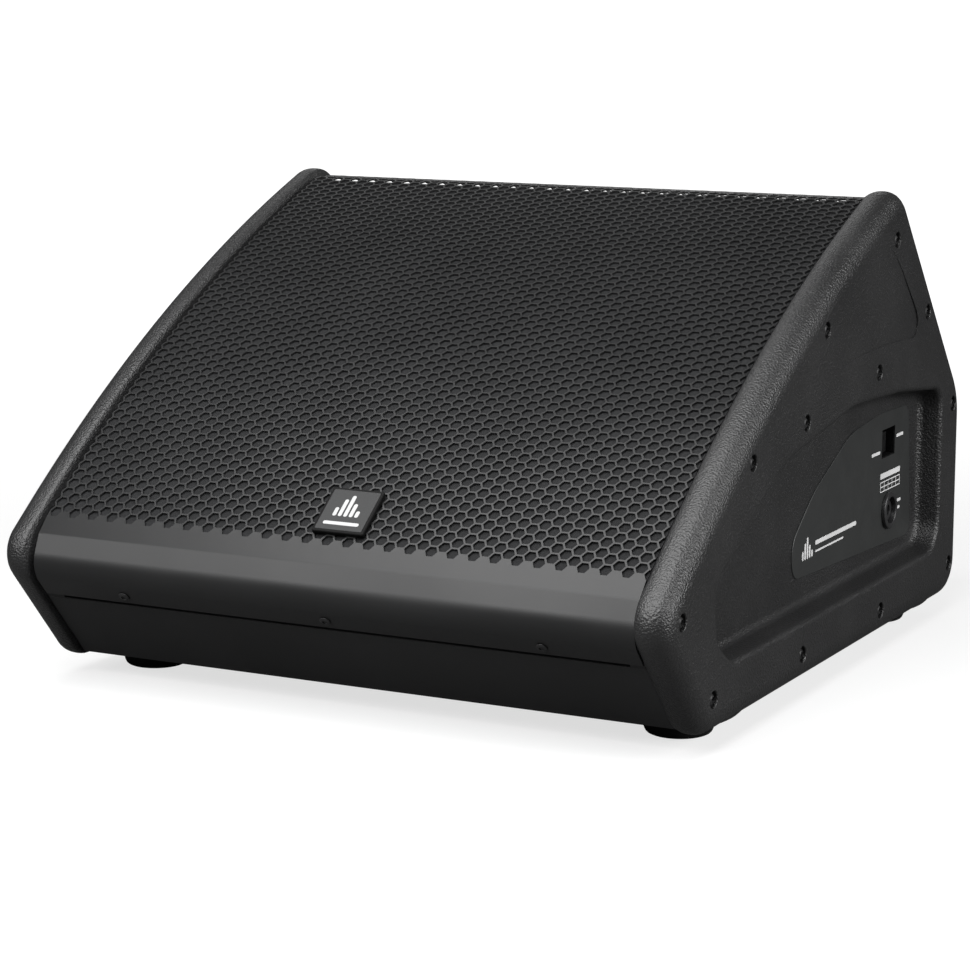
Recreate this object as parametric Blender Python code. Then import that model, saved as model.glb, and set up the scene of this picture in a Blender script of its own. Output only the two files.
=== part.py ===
"""Stage monitor wedge: a coaxial floor monitor with moulded end cheeks, a plywood box and a folded steel grille.

Metres, +Z up. The origin is on the floor under the middle of the bounding box. +X is the connector side, -Y the front.
"""
import math

import bmesh
import bpy
import numpy as np
from mathutils import Matrix, Vector

for old in list(bpy.data.objects):
    bpy.data.objects.remove(old, do_unlink=True)

MM = 0.001
GAP = 0.3

# Overall size, in millimetres
HALF_WIDTH = 270.0
HALF_DEPTH = 300.0
BOTTOM_Z = 19.3

# Grille: a gently convex slope, a folded nose and a fold over the top
SLOPE_START = np.array([-276.9, 134.0])
SLOPE_END = np.array([107.0, 351.5])
SLOPE_RADIUS = 1420.0
GRILLE_T = 1.5
GRILLE_HALF_X = 243.0
NOSE_CREASE = (-288.5, 121.8, 6.0)
NOSE_REACH = 34.0
NOSE_R = 20.0
LIP_END = (-277.4, 70.5)
LIP_DIR = np.array([-0.65, 0.76]) / np.hypot(0.65, 0.76)
LIP_OUT = np.array([-0.76, -0.65]) / np.hypot(0.65, 0.76)
LIP_PANEL_TOP_Z = 87.3
FOLD_RADIUS = 40.0
FOLD_END_Z = 315.5

# Moulded cheeks
CHEEK_IN_X = 246.5
CHEEK_BOTTOM_Z = 15.3
CHEEK_PROUD = 4.2
CHEEK_LIP_PROUD = 3.4
CHEEK_NOSE_R = 34.64
CHEEK_TOP_R = 48.0
CHEEK_REAR_R = 55.0
CHEEK_HEEL_R = 31.0
CHEEK_TOE_R = 26.0
CROWN = (
    (246.5, 8.0),
    (248.0, 3.4),
    (251.5, 0.6),
    (256.0, 0.0),
    (261.5, 2.2),
    (266.8, 7.4),
    (270.0, 16.0),
)
POCKET_FLOOR_X = 251.5
POCKET_RIM = (
    (246.0, 61.3, 16.0),
    (246.0, 192.3, 16.0),
    (150.0, 202.8, 120.0),
    (45.0, 206.3, 150.0),
    (-100.0, 184.3, 160.0),
    (-222.0, 119.3, 22.0),
    (-216.0, 79.3, 10.0),
    (-190.0, 61.3, 10.0),
)
SCREW_SPOTS = (
    (129.1, 324.6),
    (205.9, 260.3),
    (-18.7, 271.8),
    (95.5, 225.7),
    (-56.2, 208.4),
    (-157.9, 195.0),
    (276.0, 176.7),
    (-277.9, 106.7),
    (-223.2, 41.4),
    (-56.2, 36.6),
    (110.9, 35.6),
    (276.0, 42.3),
)

# Plywood box
PLY = 15.0
END_IN_X = 231.0
END_OUT_X = 246.2
INNER_X = 230.7
REAR_Y = 294.0
REAR_TOP_Z = 183.7
SLANT_DIR = np.array([-0.656, 0.7547])
SLANT_OUT = np.array([0.7547, 0.656])

# Baffle and coaxial drive unit
BAFFLE_ANGLE = math.radians(29.5)
BAFFLE_REF = np.array([-70.2, 216.7])
BAFFLE_T = 18.0
BAFFLE_TOP_U = 200.0
DRIVER_U = 12.0
DRIVER_HOLE_R = 141.0
PORT_U = -150.0
PORT_X = 186.0
PORT_R = 29.0

# Feet
FOOT_X = 220.8
FOOT_Y = (-169.5, 231.8)
FOOT_R = 26.5

# Side plate, switch and connector
PLATE_T = 1.6
PLATE_EDGE = (
    (226.0, 74.8, 11.0),
    (217.0, 183.3, 14.0),
    (150.0, 184.8, 60.0),
    (82.0, 178.3, 100.0),
    (6.0, 145.3, 120.0),
    (-38.0, 113.3, 22.0),
    (-34.0, 85.3, 14.0),
)
SWITCH_YZ = (169.5, 159.3)
SWITCH_SIZE = (30.0, 23.0)
SWITCH_THROW = 8.0
SOCKET_YZ = (171.4, 103.8)

T_DIR = np.array([math.cos(BAFFLE_ANGLE), math.sin(BAFFLE_ANGLE)])
N_DIR = np.array([-math.sin(BAFFLE_ANGLE), math.cos(BAFFLE_ANGLE)])

MATERIALS = {
    "cheek_plastic": ((0.030, 0.030, 0.032), 0.0, 0.45),
    "painted_ply": ((0.018, 0.018, 0.019), 0.0, 0.70),
    "grille_steel": ((0.022, 0.022, 0.024), 0.6, 0.38),
    "foam": ((0.035, 0.035, 0.037), 0.0, 0.95),
    "badge_plastic": ((0.060, 0.060, 0.064), 0.0, 0.35),
    "screw_steel": ((0.030, 0.030, 0.032), 0.8, 0.35),
    "rubber": ((0.012, 0.012, 0.012), 0.0, 0.85),
    "plate_plastic": ((0.040, 0.041, 0.043), 0.0, 0.42),
    "connector_plastic": ((0.010, 0.010, 0.011), 0.0, 0.40),
    "switch_plastic": ((0.008, 0.008, 0.009), 0.0, 0.45),
    "basket_metal": ((0.050, 0.050, 0.052), 0.5, 0.50),
    "magnet": ((0.070, 0.070, 0.075), 0.6, 0.55),
    "cone_paper": ((0.020, 0.020, 0.020), 0.0, 0.90),
    "surround_cloth": ((0.022, 0.022, 0.022), 0.0, 0.92),
    "spider_cloth": ((0.430, 0.300, 0.130), 0.0, 0.95),
    "coil_former": ((0.400, 0.230, 0.080), 0.2, 0.50),
    "horn_plastic": ((0.015, 0.015, 0.016), 0.0, 0.45),
    "diaphragm": ((0.500, 0.500, 0.520), 0.9, 0.30),
    "port_plastic": ((0.016, 0.016, 0.017), 0.0, 0.50),
    "circuit_board": ((0.020, 0.120, 0.050), 0.0, 0.45),
    "copper_coil": ((0.500, 0.210, 0.080), 0.7, 0.35),
    "capacitor": ((0.350, 0.060, 0.040), 0.0, 0.40),
    "damping_fibre": ((0.500, 0.500, 0.480), 0.0, 0.98),
}


def material(name):
    found = bpy.data.materials.get(name)
    if found:
        return found
    colour, metallic, roughness = MATERIALS[name]
    mat = bpy.data.materials.new(name)
    mat.use_nodes = True
    shader = mat.node_tree.nodes["Principled BSDF"]
    shader.inputs["Base Color"].default_value = (*colour, 1.0)
    shader.inputs["Metallic"].default_value = metallic
    shader.inputs["Roughness"].default_value = roughness
    mat.diffuse_color = (*colour, 1.0)
    return mat


def add_object(name, bm, mat=None, origin=(0.0, 0.0, 0.0)):
    """Turn a bmesh in millimetres into an object in metres, with its origin at a point in millimetres."""
    bmesh.ops.recalc_face_normals(bm, faces=bm.faces)
    shift = Vector(origin)
    for vert in bm.verts:
        vert.co = (vert.co - shift) * MM
    mesh = bpy.data.meshes.new(name)
    bm.to_mesh(mesh)
    bm.free()
    obj = bpy.data.objects.new(name, mesh)
    obj.location = shift * MM
    bpy.context.scene.collection.objects.link(obj)
    if mat:
        mesh.materials.append(material(mat))
    return obj


def loft(bm, rings, close_ends=True):
    """Skin rings of equal length; each ring is a list of 3-D points."""
    made = [[bm.verts.new(point) for point in ring] for ring in rings]
    count = len(made[0])
    for low, high in zip(made, made[1:]):
        for i in range(count):
            j = (i + 1) % count
            bm.faces.new((low[i], low[j], high[j], high[i]))
    if close_ends:
        bm.faces.new(list(reversed(made[0])))
        bm.faces.new(made[-1])


def prism_x(bm, outline, x0, x1):
    """Extrude a YZ outline along X."""
    loft(bm, [[(x, y, z) for y, z in outline] for x in (x0, x1)])


def rounded(corners, steps=8):
    """A closed YZ outline from (y, z, radius) corners."""
    points = []
    total = len(corners)
    for i in range(total):
        before = np.array(corners[i - 1][:2])
        here = np.array(corners[i][:2])
        after = np.array(corners[(i + 1) % total][:2])
        radius = corners[i][2] if len(corners[i]) > 2 else 0.0
        if radius <= 0:
            points.append(here)
            continue
        back = before - here
        ahead = after - here
        len_back = np.linalg.norm(back)
        len_ahead = np.linalg.norm(ahead)
        back = back / len_back
        ahead = ahead / len_ahead
        angle = math.acos(float(np.clip(back @ ahead, -1.0, 1.0)))
        reach = min(radius / math.tan(angle / 2), 0.49 * len_back, 0.49 * len_ahead)
        radius = reach * math.tan(angle / 2)
        bisector = (back + ahead) / np.linalg.norm(back + ahead)
        centre = here + bisector * radius / math.sin(angle / 2)
        start = here + back * reach - centre
        end = here + ahead * reach - centre
        a0 = math.atan2(start[1], start[0])
        turn = (math.atan2(end[1], end[0]) - a0 + math.pi) % (2 * math.pi) - math.pi
        for k in range(steps + 1):
            a = a0 + turn * k / steps
            points.append(centre + radius * np.array([math.cos(a), math.sin(a)]))
    return points


def inset(outline, distance):
    """Move a closed outline inwards by a distance, point by point."""
    pts = np.array(outline)
    area = 0.5 * np.sum(pts[:, 0] * np.roll(pts[:, 1], -1) - np.roll(pts[:, 0], -1) * pts[:, 1])
    along = np.roll(pts, -1, 0) - np.roll(pts, 1, 0)
    along /= np.linalg.norm(along, axis=1)[:, None]
    inward = np.stack([-along[:, 1], along[:, 0]], 1) * (1.0 if area > 0 else -1.0)
    return [p for p in pts + inward * distance]


def frame_matrix(origin, axis, side=Vector((1.0, 0.0, 0.0))):
    """A matrix whose local Z runs along axis from origin."""
    z = Vector(axis).normalized()
    x = (Vector(side) - z * Vector(side).dot(z)).normalized()
    y = z.cross(x)
    mat = Matrix((x, y, z)).transposed().to_4x4()
    mat.translation = Vector(origin)
    return mat


def lathe(bm, profile, matrix, segments):
    """Turn a closed (radius, height) profile about the matrix's Z axis. Points on the axis are shared."""
    columns = []
    for radius, height in profile:
        if radius < 1e-6:
            columns.append([bm.verts.new(matrix @ Vector((0.0, 0.0, height)))])
            continue
        ring = []
        for k in range(segments):
            a = 2 * math.pi * k / segments
            ring.append(bm.verts.new(matrix @ Vector((radius * math.cos(a), radius * math.sin(a), height))))
        columns.append(ring)
    total = len(columns)
    for i in range(total):
        a = columns[i]
        b = columns[(i + 1) % total]
        if len(a) == 1 and len(b) == 1:
            continue
        for k in range(segments):
            m = (k + 1) % segments
            if len(a) == 1:
                bm.faces.new((a[0], b[m], b[k]))
            elif len(b) == 1:
                bm.faces.new((a[k], a[m], b[0]))
            else:
                bm.faces.new((a[k], a[m], b[m], b[k]))


def cylinder(bm, start, end, radius, segments=16):
    start = Vector(start)
    end = Vector(end)
    length = (end - start).length
    axis = end - start
    side = Vector((1.0, 0.0, 0.0)) if abs(axis.normalized().x) < 0.9 else Vector((0.0, 1.0, 0.0))
    matrix = frame_matrix(start, axis, side)
    lathe(bm, [(0.0, 0.0), (radius, 0.0), (radius, length), (0.0, length)], matrix, segments)


def box(bm, low, high):
    outline = [(low[1], low[2]), (high[1], low[2]), (high[1], high[2]), (low[1], high[2])]
    prism_x(bm, outline, low[0], high[0])


def cut(target, cutter_bm, label, operation="DIFFERENCE"):
    """Boolean a hidden helper into the target."""
    helper = add_object(f"{label}_cutter", cutter_bm)
    helper.hide_render = True
    helper.display_type = "WIRE"
    mod = target.modifiers.new(label, "BOOLEAN")
    mod.operation = operation
    mod.solver = "EXACT"
    mod.object = helper
    return mod


def to_world(x, u, w):
    """Baffle coordinates to the row frame: x across, u up the slope, w out of the front face."""
    yz = BAFFLE_REF + T_DIR * u + N_DIR * w
    return Vector((x, yz[0], yz[1]))


def axis_matrix(x, u, w=0.0):
    return frame_matrix(to_world(x, u, w), (0.0, N_DIR[0], N_DIR[1]))


# ---------------------------------------------------------------- outlines

chord = SLOPE_END - SLOPE_START
chord_len = float(np.linalg.norm(chord))
chord_dir = chord / chord_len
chord_out = np.array([-chord_dir[1], chord_dir[0]])
arc_depth = math.sqrt(SLOPE_RADIUS**2 - (chord_len / 2) ** 2)
arc_centre = (SLOPE_START + SLOPE_END) / 2 - chord_out * arc_depth
angle_start = math.atan2(*(SLOPE_START - arc_centre)[::-1])
angle_end = math.atan2(*(SLOPE_END - arc_centre)[::-1])


def slope_points(offset, count, first=0.0, last=1.0):
    """Points up the convex slope, moved outwards by an offset."""
    points = []
    for k in range(count):
        share = first + (last - first) * k / (count - 1)
        a = angle_start + (angle_end - angle_start) * share
        points.append(arc_centre + (SLOPE_RADIUS + offset) * np.array([math.cos(a), math.sin(a)]))
    return points


def meet(p, d, q, e):
    """Where the line p + t d meets the line q + s e."""
    t = np.linalg.solve(np.array([d, -e]).T, q - p)
    return p + d * t[0]


slant_corner = np.array([REAR_Y, REAR_TOP_Z])
top_dir = np.array([-math.sin(angle_end), math.cos(angle_end)]) * -1.0


def offset_corner(before, corner, after, offset):
    """The corner of a polyline after both its sides move out to their left by an offset."""
    first = (corner - before) / np.linalg.norm(corner - before)
    second = (after - corner) / np.linalg.norm(after - corner)
    first_out = np.array([-first[1], first[0]])
    second_out = np.array([-second[1], second[0]])
    return meet(before + first_out * offset, first, after + second_out * offset, second)


def skin_profile(offset):
    """The grille line from lip to rear fold, moved outwards by an offset: an open polyline."""
    lip = np.array(LIP_END)
    corner = lip + LIP_DIR * NOSE_REACH
    crease = np.array(NOSE_CREASE[:2])
    nose = [
        (*(lip + LIP_OUT * offset), 0.0),
        (*offset_corner(lip, corner, crease, offset), NOSE_R + offset),
        (*offset_corner(corner, crease, SLOPE_START, offset), NOSE_CREASE[2]),
    ]
    slope = slope_points(offset, 15)
    fold = meet(slope[-1], top_dir, slant_corner + SLANT_OUT * (offset - 1.7), SLANT_DIR)
    end = meet(slant_corner + SLANT_OUT * (offset - 1.7), SLANT_DIR, np.array([0.0, FOLD_END_Z]), np.array([1.0, 0.0]))
    corners = [(*slope[-2], 0.0), (*fold, FOLD_RADIUS + offset), (*end, 0.0)]
    front = rounded([*nose, (*slope[0], 0.0), (0.0, 60.0, 0.0)], 5)[:-1]
    back = rounded([*corners, (0.0, 60.0, 0.0)], 7)[1:-1]
    return front + slope[1:-1] + back


outer_line = skin_profile(0.0)
inner_line = skin_profile(-GRILLE_T)

lip_point = np.array(LIP_END)
cheek_lip = lip_point + LIP_OUT * CHEEK_LIP_PROUD
toe = meet(cheek_lip, LIP_DIR, np.array([0.0, CHEEK_BOTTOM_Z]), np.array([1.0, 0.0]))
crest = slope_points(CHEEK_PROUD, 11)
crest_start_dir = crest[1] - crest[0]
cheek_nose = meet(crest[0], crest_start_dir, cheek_lip, LIP_DIR)
slant_crest = slant_corner + SLANT_OUT * 6.0
cheek_top = meet(crest[-1], crest[-1] - crest[-2], slant_crest, SLANT_DIR)
cheek_rear = meet(slant_crest, SLANT_DIR, np.array([HALF_DEPTH, 0.0]), np.array([0.0, 1.0]))
cheek_corners = [
    (HALF_DEPTH, CHEEK_BOTTOM_Z, CHEEK_HEEL_R),
    (*cheek_rear, CHEEK_REAR_R),
    (*cheek_top, CHEEK_TOP_R),
    *[(*p, 0.0) for p in reversed(crest[1:-1])],
    (*cheek_nose, CHEEK_NOSE_R),
    (*toe, CHEEK_TOE_R),
]
cheek_outline = rounded(cheek_corners, 7)


# ---------------------------------------------------------------- cheeks and box

def make_cheek(side, name):
    bm = bmesh.new()
    rings = []
    for x, depth in CROWN:
        rings.append([(side * x, y, z) for y, z in inset(cheek_outline, depth)])
    loft(bm, rings)
    cheek = add_object(name, bm, "cheek_plastic")
    pads = bmesh.new()
    for foot_y in FOOT_Y:
        half = 38.0
        arc = []
        for k in range(13):
            a = math.pi * (k / 12.0 - 0.5)
            arc.append((side * (250.0 + 13.0 * math.cos(a)), foot_y + half * math.sin(a)))
        loft(pads, [[(x, y, z) for x, y in arc] for z in (14.8, 30.0)])
    cut(cheek, pads, f"{name}_pads", "UNION")
    pocket = bmesh.new()
    rim = rounded(POCKET_RIM, 5)
    wall = inset(rim, 3.0)
    loft(
        pocket,
        [
            [(side * POCKET_FLOOR_X, y, z) for y, z in wall],
            [(side * (HALF_WIDTH - 3.0), y, z) for y, z in inset(rim, 0.5)],
            [(side * (HALF_WIDTH + 2.0), y, z) for y, z in inset(rim, -2.5)],
        ],
    )
    cut(cheek, pocket, f"{name}_pocket")
    holes = bmesh.new()
    for y, z in SCREW_SPOTS:
        matrix = frame_matrix((side * 263.5, y, z), (side, 0.0, 0.0), (0.0, 1.0, 0.0))
        lathe(holes, [(0.0, -24.0), (2.9, -24.0), (2.9, 0.0), (6.4, 0.0), (6.4, 12.0), (0.0, 12.0)], matrix, 12)
    cut(cheek, holes, f"{name}_screw_holes")
    through = bmesh.new()
    cylinder(through, (side * 240.0, *SOCKET_YZ), (side * 256.0, *SOCKET_YZ), 13.6, 20)
    if side > 0:
        box(
            through,
            (240.0, SWITCH_YZ[0] - 18.4, SWITCH_YZ[1] - 15.0),
            (256.0, SWITCH_YZ[0] + 18.4, SWITCH_YZ[1] + 15.0),
        )
    cut(cheek, through, f"{name}_cutouts")
    return cheek


make_cheek(1.0, "cheek_right")
make_cheek(-1.0, "cheek_left")

panel_face = lip_point - LIP_OUT * 2.5
panel_back = lip_point - LIP_OUT * (2.5 + PLY)
along_x = np.array([1.0, 0.0])
along_z = np.array([0.0, 1.0])


def at_z(point, direction, z):
    return meet(point, direction, np.array([0.0, z]), along_x)


lower_front = [
    at_z(panel_face, LIP_DIR, BOTTOM_Z),
    at_z(panel_face, LIP_DIR, LIP_PANEL_TOP_Z),
    at_z(panel_face, LIP_DIR, LIP_PANEL_TOP_Z) - LIP_OUT * PLY,
    at_z(panel_back, LIP_DIR, BOTTOM_Z),
]
ends_line = [p for p in skin_profile(-9.0) if p[1] > LIP_PANEL_TOP_Z]
end_outline = [
    at_z(panel_face, LIP_DIR, BOTTOM_Z),
    at_z(panel_face, LIP_DIR, LIP_PANEL_TOP_Z - 4.0),
    *ends_line,
    at_z(slant_corner - SLANT_OUT * 10.7, SLANT_DIR, 312.5),
    at_z(slant_corner, SLANT_DIR, 312.5),
    slant_corner,
    np.array([REAR_Y, BOTTOM_Z]),
]


def make_end(side, name):
    bm = bmesh.new()
    prism_x(bm, end_outline, side * END_IN_X, side * END_OUT_X)
    panel = add_object(name, bm, "painted_ply")
    holes = bmesh.new()
    for y, z in SCREW_SPOTS:
        cylinder(holes, (side * 225.0, y, z), (side * 250.0, y, z), 2.6, 8)
    cylinder(holes, (side * 225.0, *SOCKET_YZ), (side * 250.0, *SOCKET_YZ), 13.6, 20)
    if side > 0:
        box(
            holes,
            (225.0, SWITCH_YZ[0] - 18.4, SWITCH_YZ[1] - 15.0),
            (250.0, SWITCH_YZ[0] + 18.4, SWITCH_YZ[1] + 15.0),
        )
    cut(panel, holes, f"{name}_holes")


make_end(1.0, "end_panel_right")
make_end(-1.0, "end_panel_left")

bm = bmesh.new()
bottom_outline = [
    at_z(panel_back, LIP_DIR, BOTTOM_Z) + along_x * 0.4,
    np.array([REAR_Y - PLY - GAP, BOTTOM_Z]),
    np.array([REAR_Y - PLY - GAP, BOTTOM_Z + PLY]),
    at_z(panel_back, LIP_DIR, BOTTOM_Z + PLY) + along_x * 0.4,
]
prism_x(bm, bottom_outline, -INNER_X, INNER_X)
bottom = add_object("bottom_panel", bm, "painted_ply")
holes = bmesh.new()
for x in (-FOOT_X, FOOT_X):
    for y in FOOT_Y:
        cylinder(holes, (x, y, 10.0), (x, y, 33.0), 2.6, 10)
cut(bottom, holes, "bottom_panel_holes")

GRILLE_SCREW_X = (-170.0, 0.0, 170.0)
screw_yz = at_z(lip_point, LIP_DIR, 80.7)


def lip_hole(bm, x, depth0, depth1, radius, segments=10):
    start = screw_yz + LIP_OUT * depth0
    end = screw_yz + LIP_OUT * depth1
    cylinder(bm, (x, *start), (x, *end), radius, segments)


bm = bmesh.new()
prism_x(bm, lower_front, -INNER_X, INNER_X)
front_panel = add_object("lower_front_panel", bm, "painted_ply")
holes = bmesh.new()
for x in GRILLE_SCREW_X:
    lip_hole(holes, x, 4.0, -14.0, 2.1)
cut(front_panel, holes, "lower_front_holes")

bm = bmesh.new()
box(bm, (-INNER_X, REAR_Y - PLY, BOTTOM_Z), (INNER_X, REAR_Y, REAR_TOP_Z - GAP))
add_object("rear_panel", bm, "painted_ply")

slant_inner = slant_corner - SLANT_OUT * PLY
bm = bmesh.new()
slant_outline = [
    slant_corner,
    at_z(slant_corner, SLANT_DIR, 312.5),
    at_z(slant_inner, SLANT_DIR, 312.5),
    at_z(slant_inner, SLANT_DIR, REAR_TOP_Z),
]
prism_x(bm, slant_outline, -INNER_X, INNER_X)
add_object("rear_slope_panel", bm, "painted_ply")

bm = bmesh.new()
top_outline = [
    np.array([118.2, 291.3]),
    at_z(slant_inner, SLANT_DIR, 291.3) - along_x * 0.5,
    at_z(slant_inner, SLANT_DIR, 306.3) - along_x * 0.5,
    np.array([109.8, 306.3]),
]
prism_x(bm, top_outline, -INNER_X, INNER_X)
add_object("top_panel", bm, "painted_ply")

# The baffle's lower edge stops just short of the lower front panel
low_corner = meet(BAFFLE_REF - N_DIR * BAFFLE_T, T_DIR, panel_back, LIP_DIR)
baffle_low_u = float((low_corner - BAFFLE_REF) @ T_DIR) + 0.8
bm = bmesh.new()
baffle_outline = []
for u, w in ((baffle_low_u, -BAFFLE_T), (BAFFLE_TOP_U, -BAFFLE_T), (BAFFLE_TOP_U, 0.0), (baffle_low_u, 0.0)):
    baffle_outline.append(BAFFLE_REF + T_DIR * u + N_DIR * w)
prism_x(bm, baffle_outline, -INNER_X, INNER_X)
baffle = add_object("baffle", bm, "painted_ply")
holes = bmesh.new()
lathe(
    holes,
    [(0.0, -40.0), (DRIVER_HOLE_R, -40.0), (DRIVER_HOLE_R, 20.0), (0.0, 20.0)],
    axis_matrix(0.0, DRIVER_U),
    36,
)
for side in (-1.0, 1.0):
    lathe(
        holes,
        [(0.0, -40.0), (PORT_R + 4.0, -40.0), (PORT_R + 4.0, 20.0), (0.0, 20.0)],
        axis_matrix(side * PORT_X, PORT_U),
        20,
    )
cut(baffle, holes, "baffle_holes")

# ---------------------------------------------------------------- grille, foam, badge and their screws

bm = bmesh.new()
prism_x(bm, outer_line + list(reversed(inner_line)), -GRILLE_HALF_X, GRILLE_HALF_X)
grille = add_object("grille", bm, "grille_steel")
holes = bmesh.new()
for x in GRILLE_SCREW_X:
    lip_hole(holes, x, 4.0, -2.2, 2.2)
cut(grille, holes, "grille_screw_holes")

bm = bmesh.new()
foam_outline = slope_points(-1.9, 11, 0.02, 0.97) + list(reversed(slope_points(-8.6, 11, 0.02, 0.97)))
prism_x(bm, foam_outline, -240.0, 240.0)
add_object("grille_foam", bm, "foam")

badge_a = angle_start + (angle_end - angle_start) * 0.066
badge_out = np.array([math.cos(badge_a), math.sin(badge_a)])
badge_point = arc_centre + badge_out * (SLOPE_RADIUS + 0.4)
badge_frame = frame_matrix((0.0, *badge_point), (0.0, *badge_out))
bm = bmesh.new()
face_outline = rounded([(-20.5, -20.5, 2.0), (20.5, -20.5, 2.0), (20.5, 20.5, 2.0), (-20.5, 20.5, 2.0)], 3)
rings = []
for height, shrink in ((0.0, 0.0), (2.6, 0.0), (3.4, 0.8)):
    rings.append([badge_frame @ Vector((a, b, height)) for a, b in inset(face_outline, shrink)])
loft(bm, rings)
add_object("badge", bm, "badge_plastic")

for x, label in zip(GRILLE_SCREW_X, ("left", "middle", "right")):
    bm = bmesh.new()
    matrix = frame_matrix((x, *(screw_yz + LIP_OUT * 0.3)), (0.0, *LIP_OUT))
    profile = [(0.0, -13.0), (1.7, -12.0), (1.7, 0.0), (4.3, 0.0), (4.1, 1.0), (3.2, 1.7), (1.4, 1.9), (1.4, 0.7), (0.0, 0.7)]
    lathe(bm, profile, matrix, 10)
    add_object(f"grille_screw_{label}", bm, "screw_steel")

# ---------------------------------------------------------------- feet

for x, side_word in ((-FOOT_X, "left"), (FOOT_X, "right")):
    for y, end_word in zip(FOOT_Y, ("front", "rear")):
        bm = bmesh.new()
        profile = [
            (8.5, 0.0),
            (20.0, 0.0),
            (23.5, 1.2),
            (25.3, 4.0),
            (FOOT_R, BOTTOM_Z - GAP),
            (3.0, BOTTOM_Z - GAP),
            (3.0, 9.0),
            (8.5, 9.0),
        ]
        lathe(bm, profile, Matrix.Translation((x, y, 0.0)), 20)
        add_object(f"foot_{end_word}_{side_word}", bm, "rubber")
        bm = bmesh.new()
        profile = [(0.0, 5.2), (3.4, 5.2), (6.6, 6.4), (6.8, 8.7), (2.2, 8.7), (2.2, 31.5), (0.0, 32.5)]
        lathe(bm, profile, Matrix.Translation((x, y, 0.0)), 8)
        add_object(f"foot_screw_{end_word}_{side_word}", bm, "screw_steel")

# ---------------------------------------------------------------- side plates, connectors, switch, cheek screws

plate_low_x = POCKET_FLOOR_X + GAP
plate_high_x = plate_low_x + PLATE_T
for side, word in ((1.0, "right"), (-1.0, "left")):
    bm = bmesh.new()
    prism_x(bm, rounded(PLATE_EDGE, 6), side * plate_low_x, side * plate_high_x)
    plate = add_object(f"side_plate_{word}", bm, "plate_plastic")
    holes = bmesh.new()
    cylinder(holes, (side * 245.0, *SOCKET_YZ), (side * 260.0, *SOCKET_YZ), 13.1, 24)
    if side > 0:
        box(
            holes,
            (245.0, SWITCH_YZ[0] - SWITCH_SIZE[0] / 2, SWITCH_YZ[1] - SWITCH_SIZE[1] / 2),
            (260.0, SWITCH_YZ[0] + SWITCH_SIZE[0] / 2, SWITCH_YZ[1] + SWITCH_SIZE[1] / 2),
        )
    cut(plate, holes, f"side_plate_{word}_holes")
    bm = bmesh.new()
    matrix = frame_matrix((side * (plate_high_x + GAP), *SOCKET_YZ), (side, 0.0, 0.0), (0.0, 1.0, 0.0))
    profile = [
        (0.0, -26.0),
        (12.7, -26.0),
        (12.7, 0.0),
        (15.0, 0.0),
        (14.6, 1.8),
        (11.4, 2.2),
        (10.6, 1.2),
        (10.6, -17.0),
        (5.0, -17.0),
        (5.0, -2.0),
        (3.6, -1.0),
        (0.0, -1.0),
    ]
    lathe(bm, profile, matrix, 20)
    add_object(f"speaker_connector_{word}", bm, "connector_plastic")

sy, sz = SWITCH_YZ
half_y, half_z = SWITCH_SIZE[0] / 2, SWITCH_SIZE[1] / 2
bm = bmesh.new()
box(bm, (235.0, sy - 18.0, sz - 14.6), (plate_low_x - GAP, sy + 18.0, sz + 14.6))
housing = add_object("mode_switch_housing", bm, "switch_plastic")
holes = bmesh.new()
box(holes, (242.0, sy - half_y + 0.6, sz - half_z + 0.6), (260.0, sy + half_y - 0.6, sz + half_z - 0.6))
cut(housing, holes, "switch_recess")
holes = bmesh.new()
box(holes, (230.0, sy - 11.0, sz - 2.6), (243.0, sy + 11.0, sz + 2.6))
cut(housing, holes, "switch_slot")

rest_y = sy - SWITCH_THROW / 2
bm = bmesh.new()
knob = [(rest_y - 6.5, 242.4), (rest_y + 6.5, 242.4), (rest_y + 6.5, 249.0), (rest_y + 4.5, 249.0)]
knob += [(rest_y + 4.0, 247.6), (rest_y + 2.6, 247.6), (rest_y + 2.1, 249.0), (rest_y - 2.1, 249.0)]
knob += [(rest_y - 2.6, 247.6), (rest_y - 4.0, 247.6), (rest_y - 4.5, 249.0), (rest_y - 6.5, 249.0)]
loft(bm, [[(x, y, z) for y, x in knob] for z in (sz - 8.0, sz + 8.0)])
slider = add_object("mode_switch_slider", bm, "switch_plastic", (242.0, rest_y, sz))
stem = bmesh.new()
box(stem, (236.0, rest_y - 5.0, sz - 2.0), (244.0, rest_y + 5.0, sz + 2.0))
cut(slider, stem, "switch_stem", "UNION")

for number, (y, z) in enumerate(SCREW_SPOTS, 1):
    bm = bmesh.new()
    matrix = frame_matrix((263.8, y, z), (1.0, 0.0, 0.0), (0.0, 1.0, 0.0))
    profile = [(0.0, -29.0), (2.2, -28.0), (2.2, 0.0), (5.6, 0.0), (5.2, 2.2), (1.8, 3.2), (1.8, 1.4), (0.0, 1.4)]
    lathe(bm, profile, matrix, 10)
    add_object(f"cheek_screw_{number:02d}", bm, "screw_steel")

# ---------------------------------------------------------------- coaxial drive unit

unit = axis_matrix(0.0, DRIVER_U)
unit_origin = to_world(0.0, DRIVER_U, 0.0)

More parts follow.
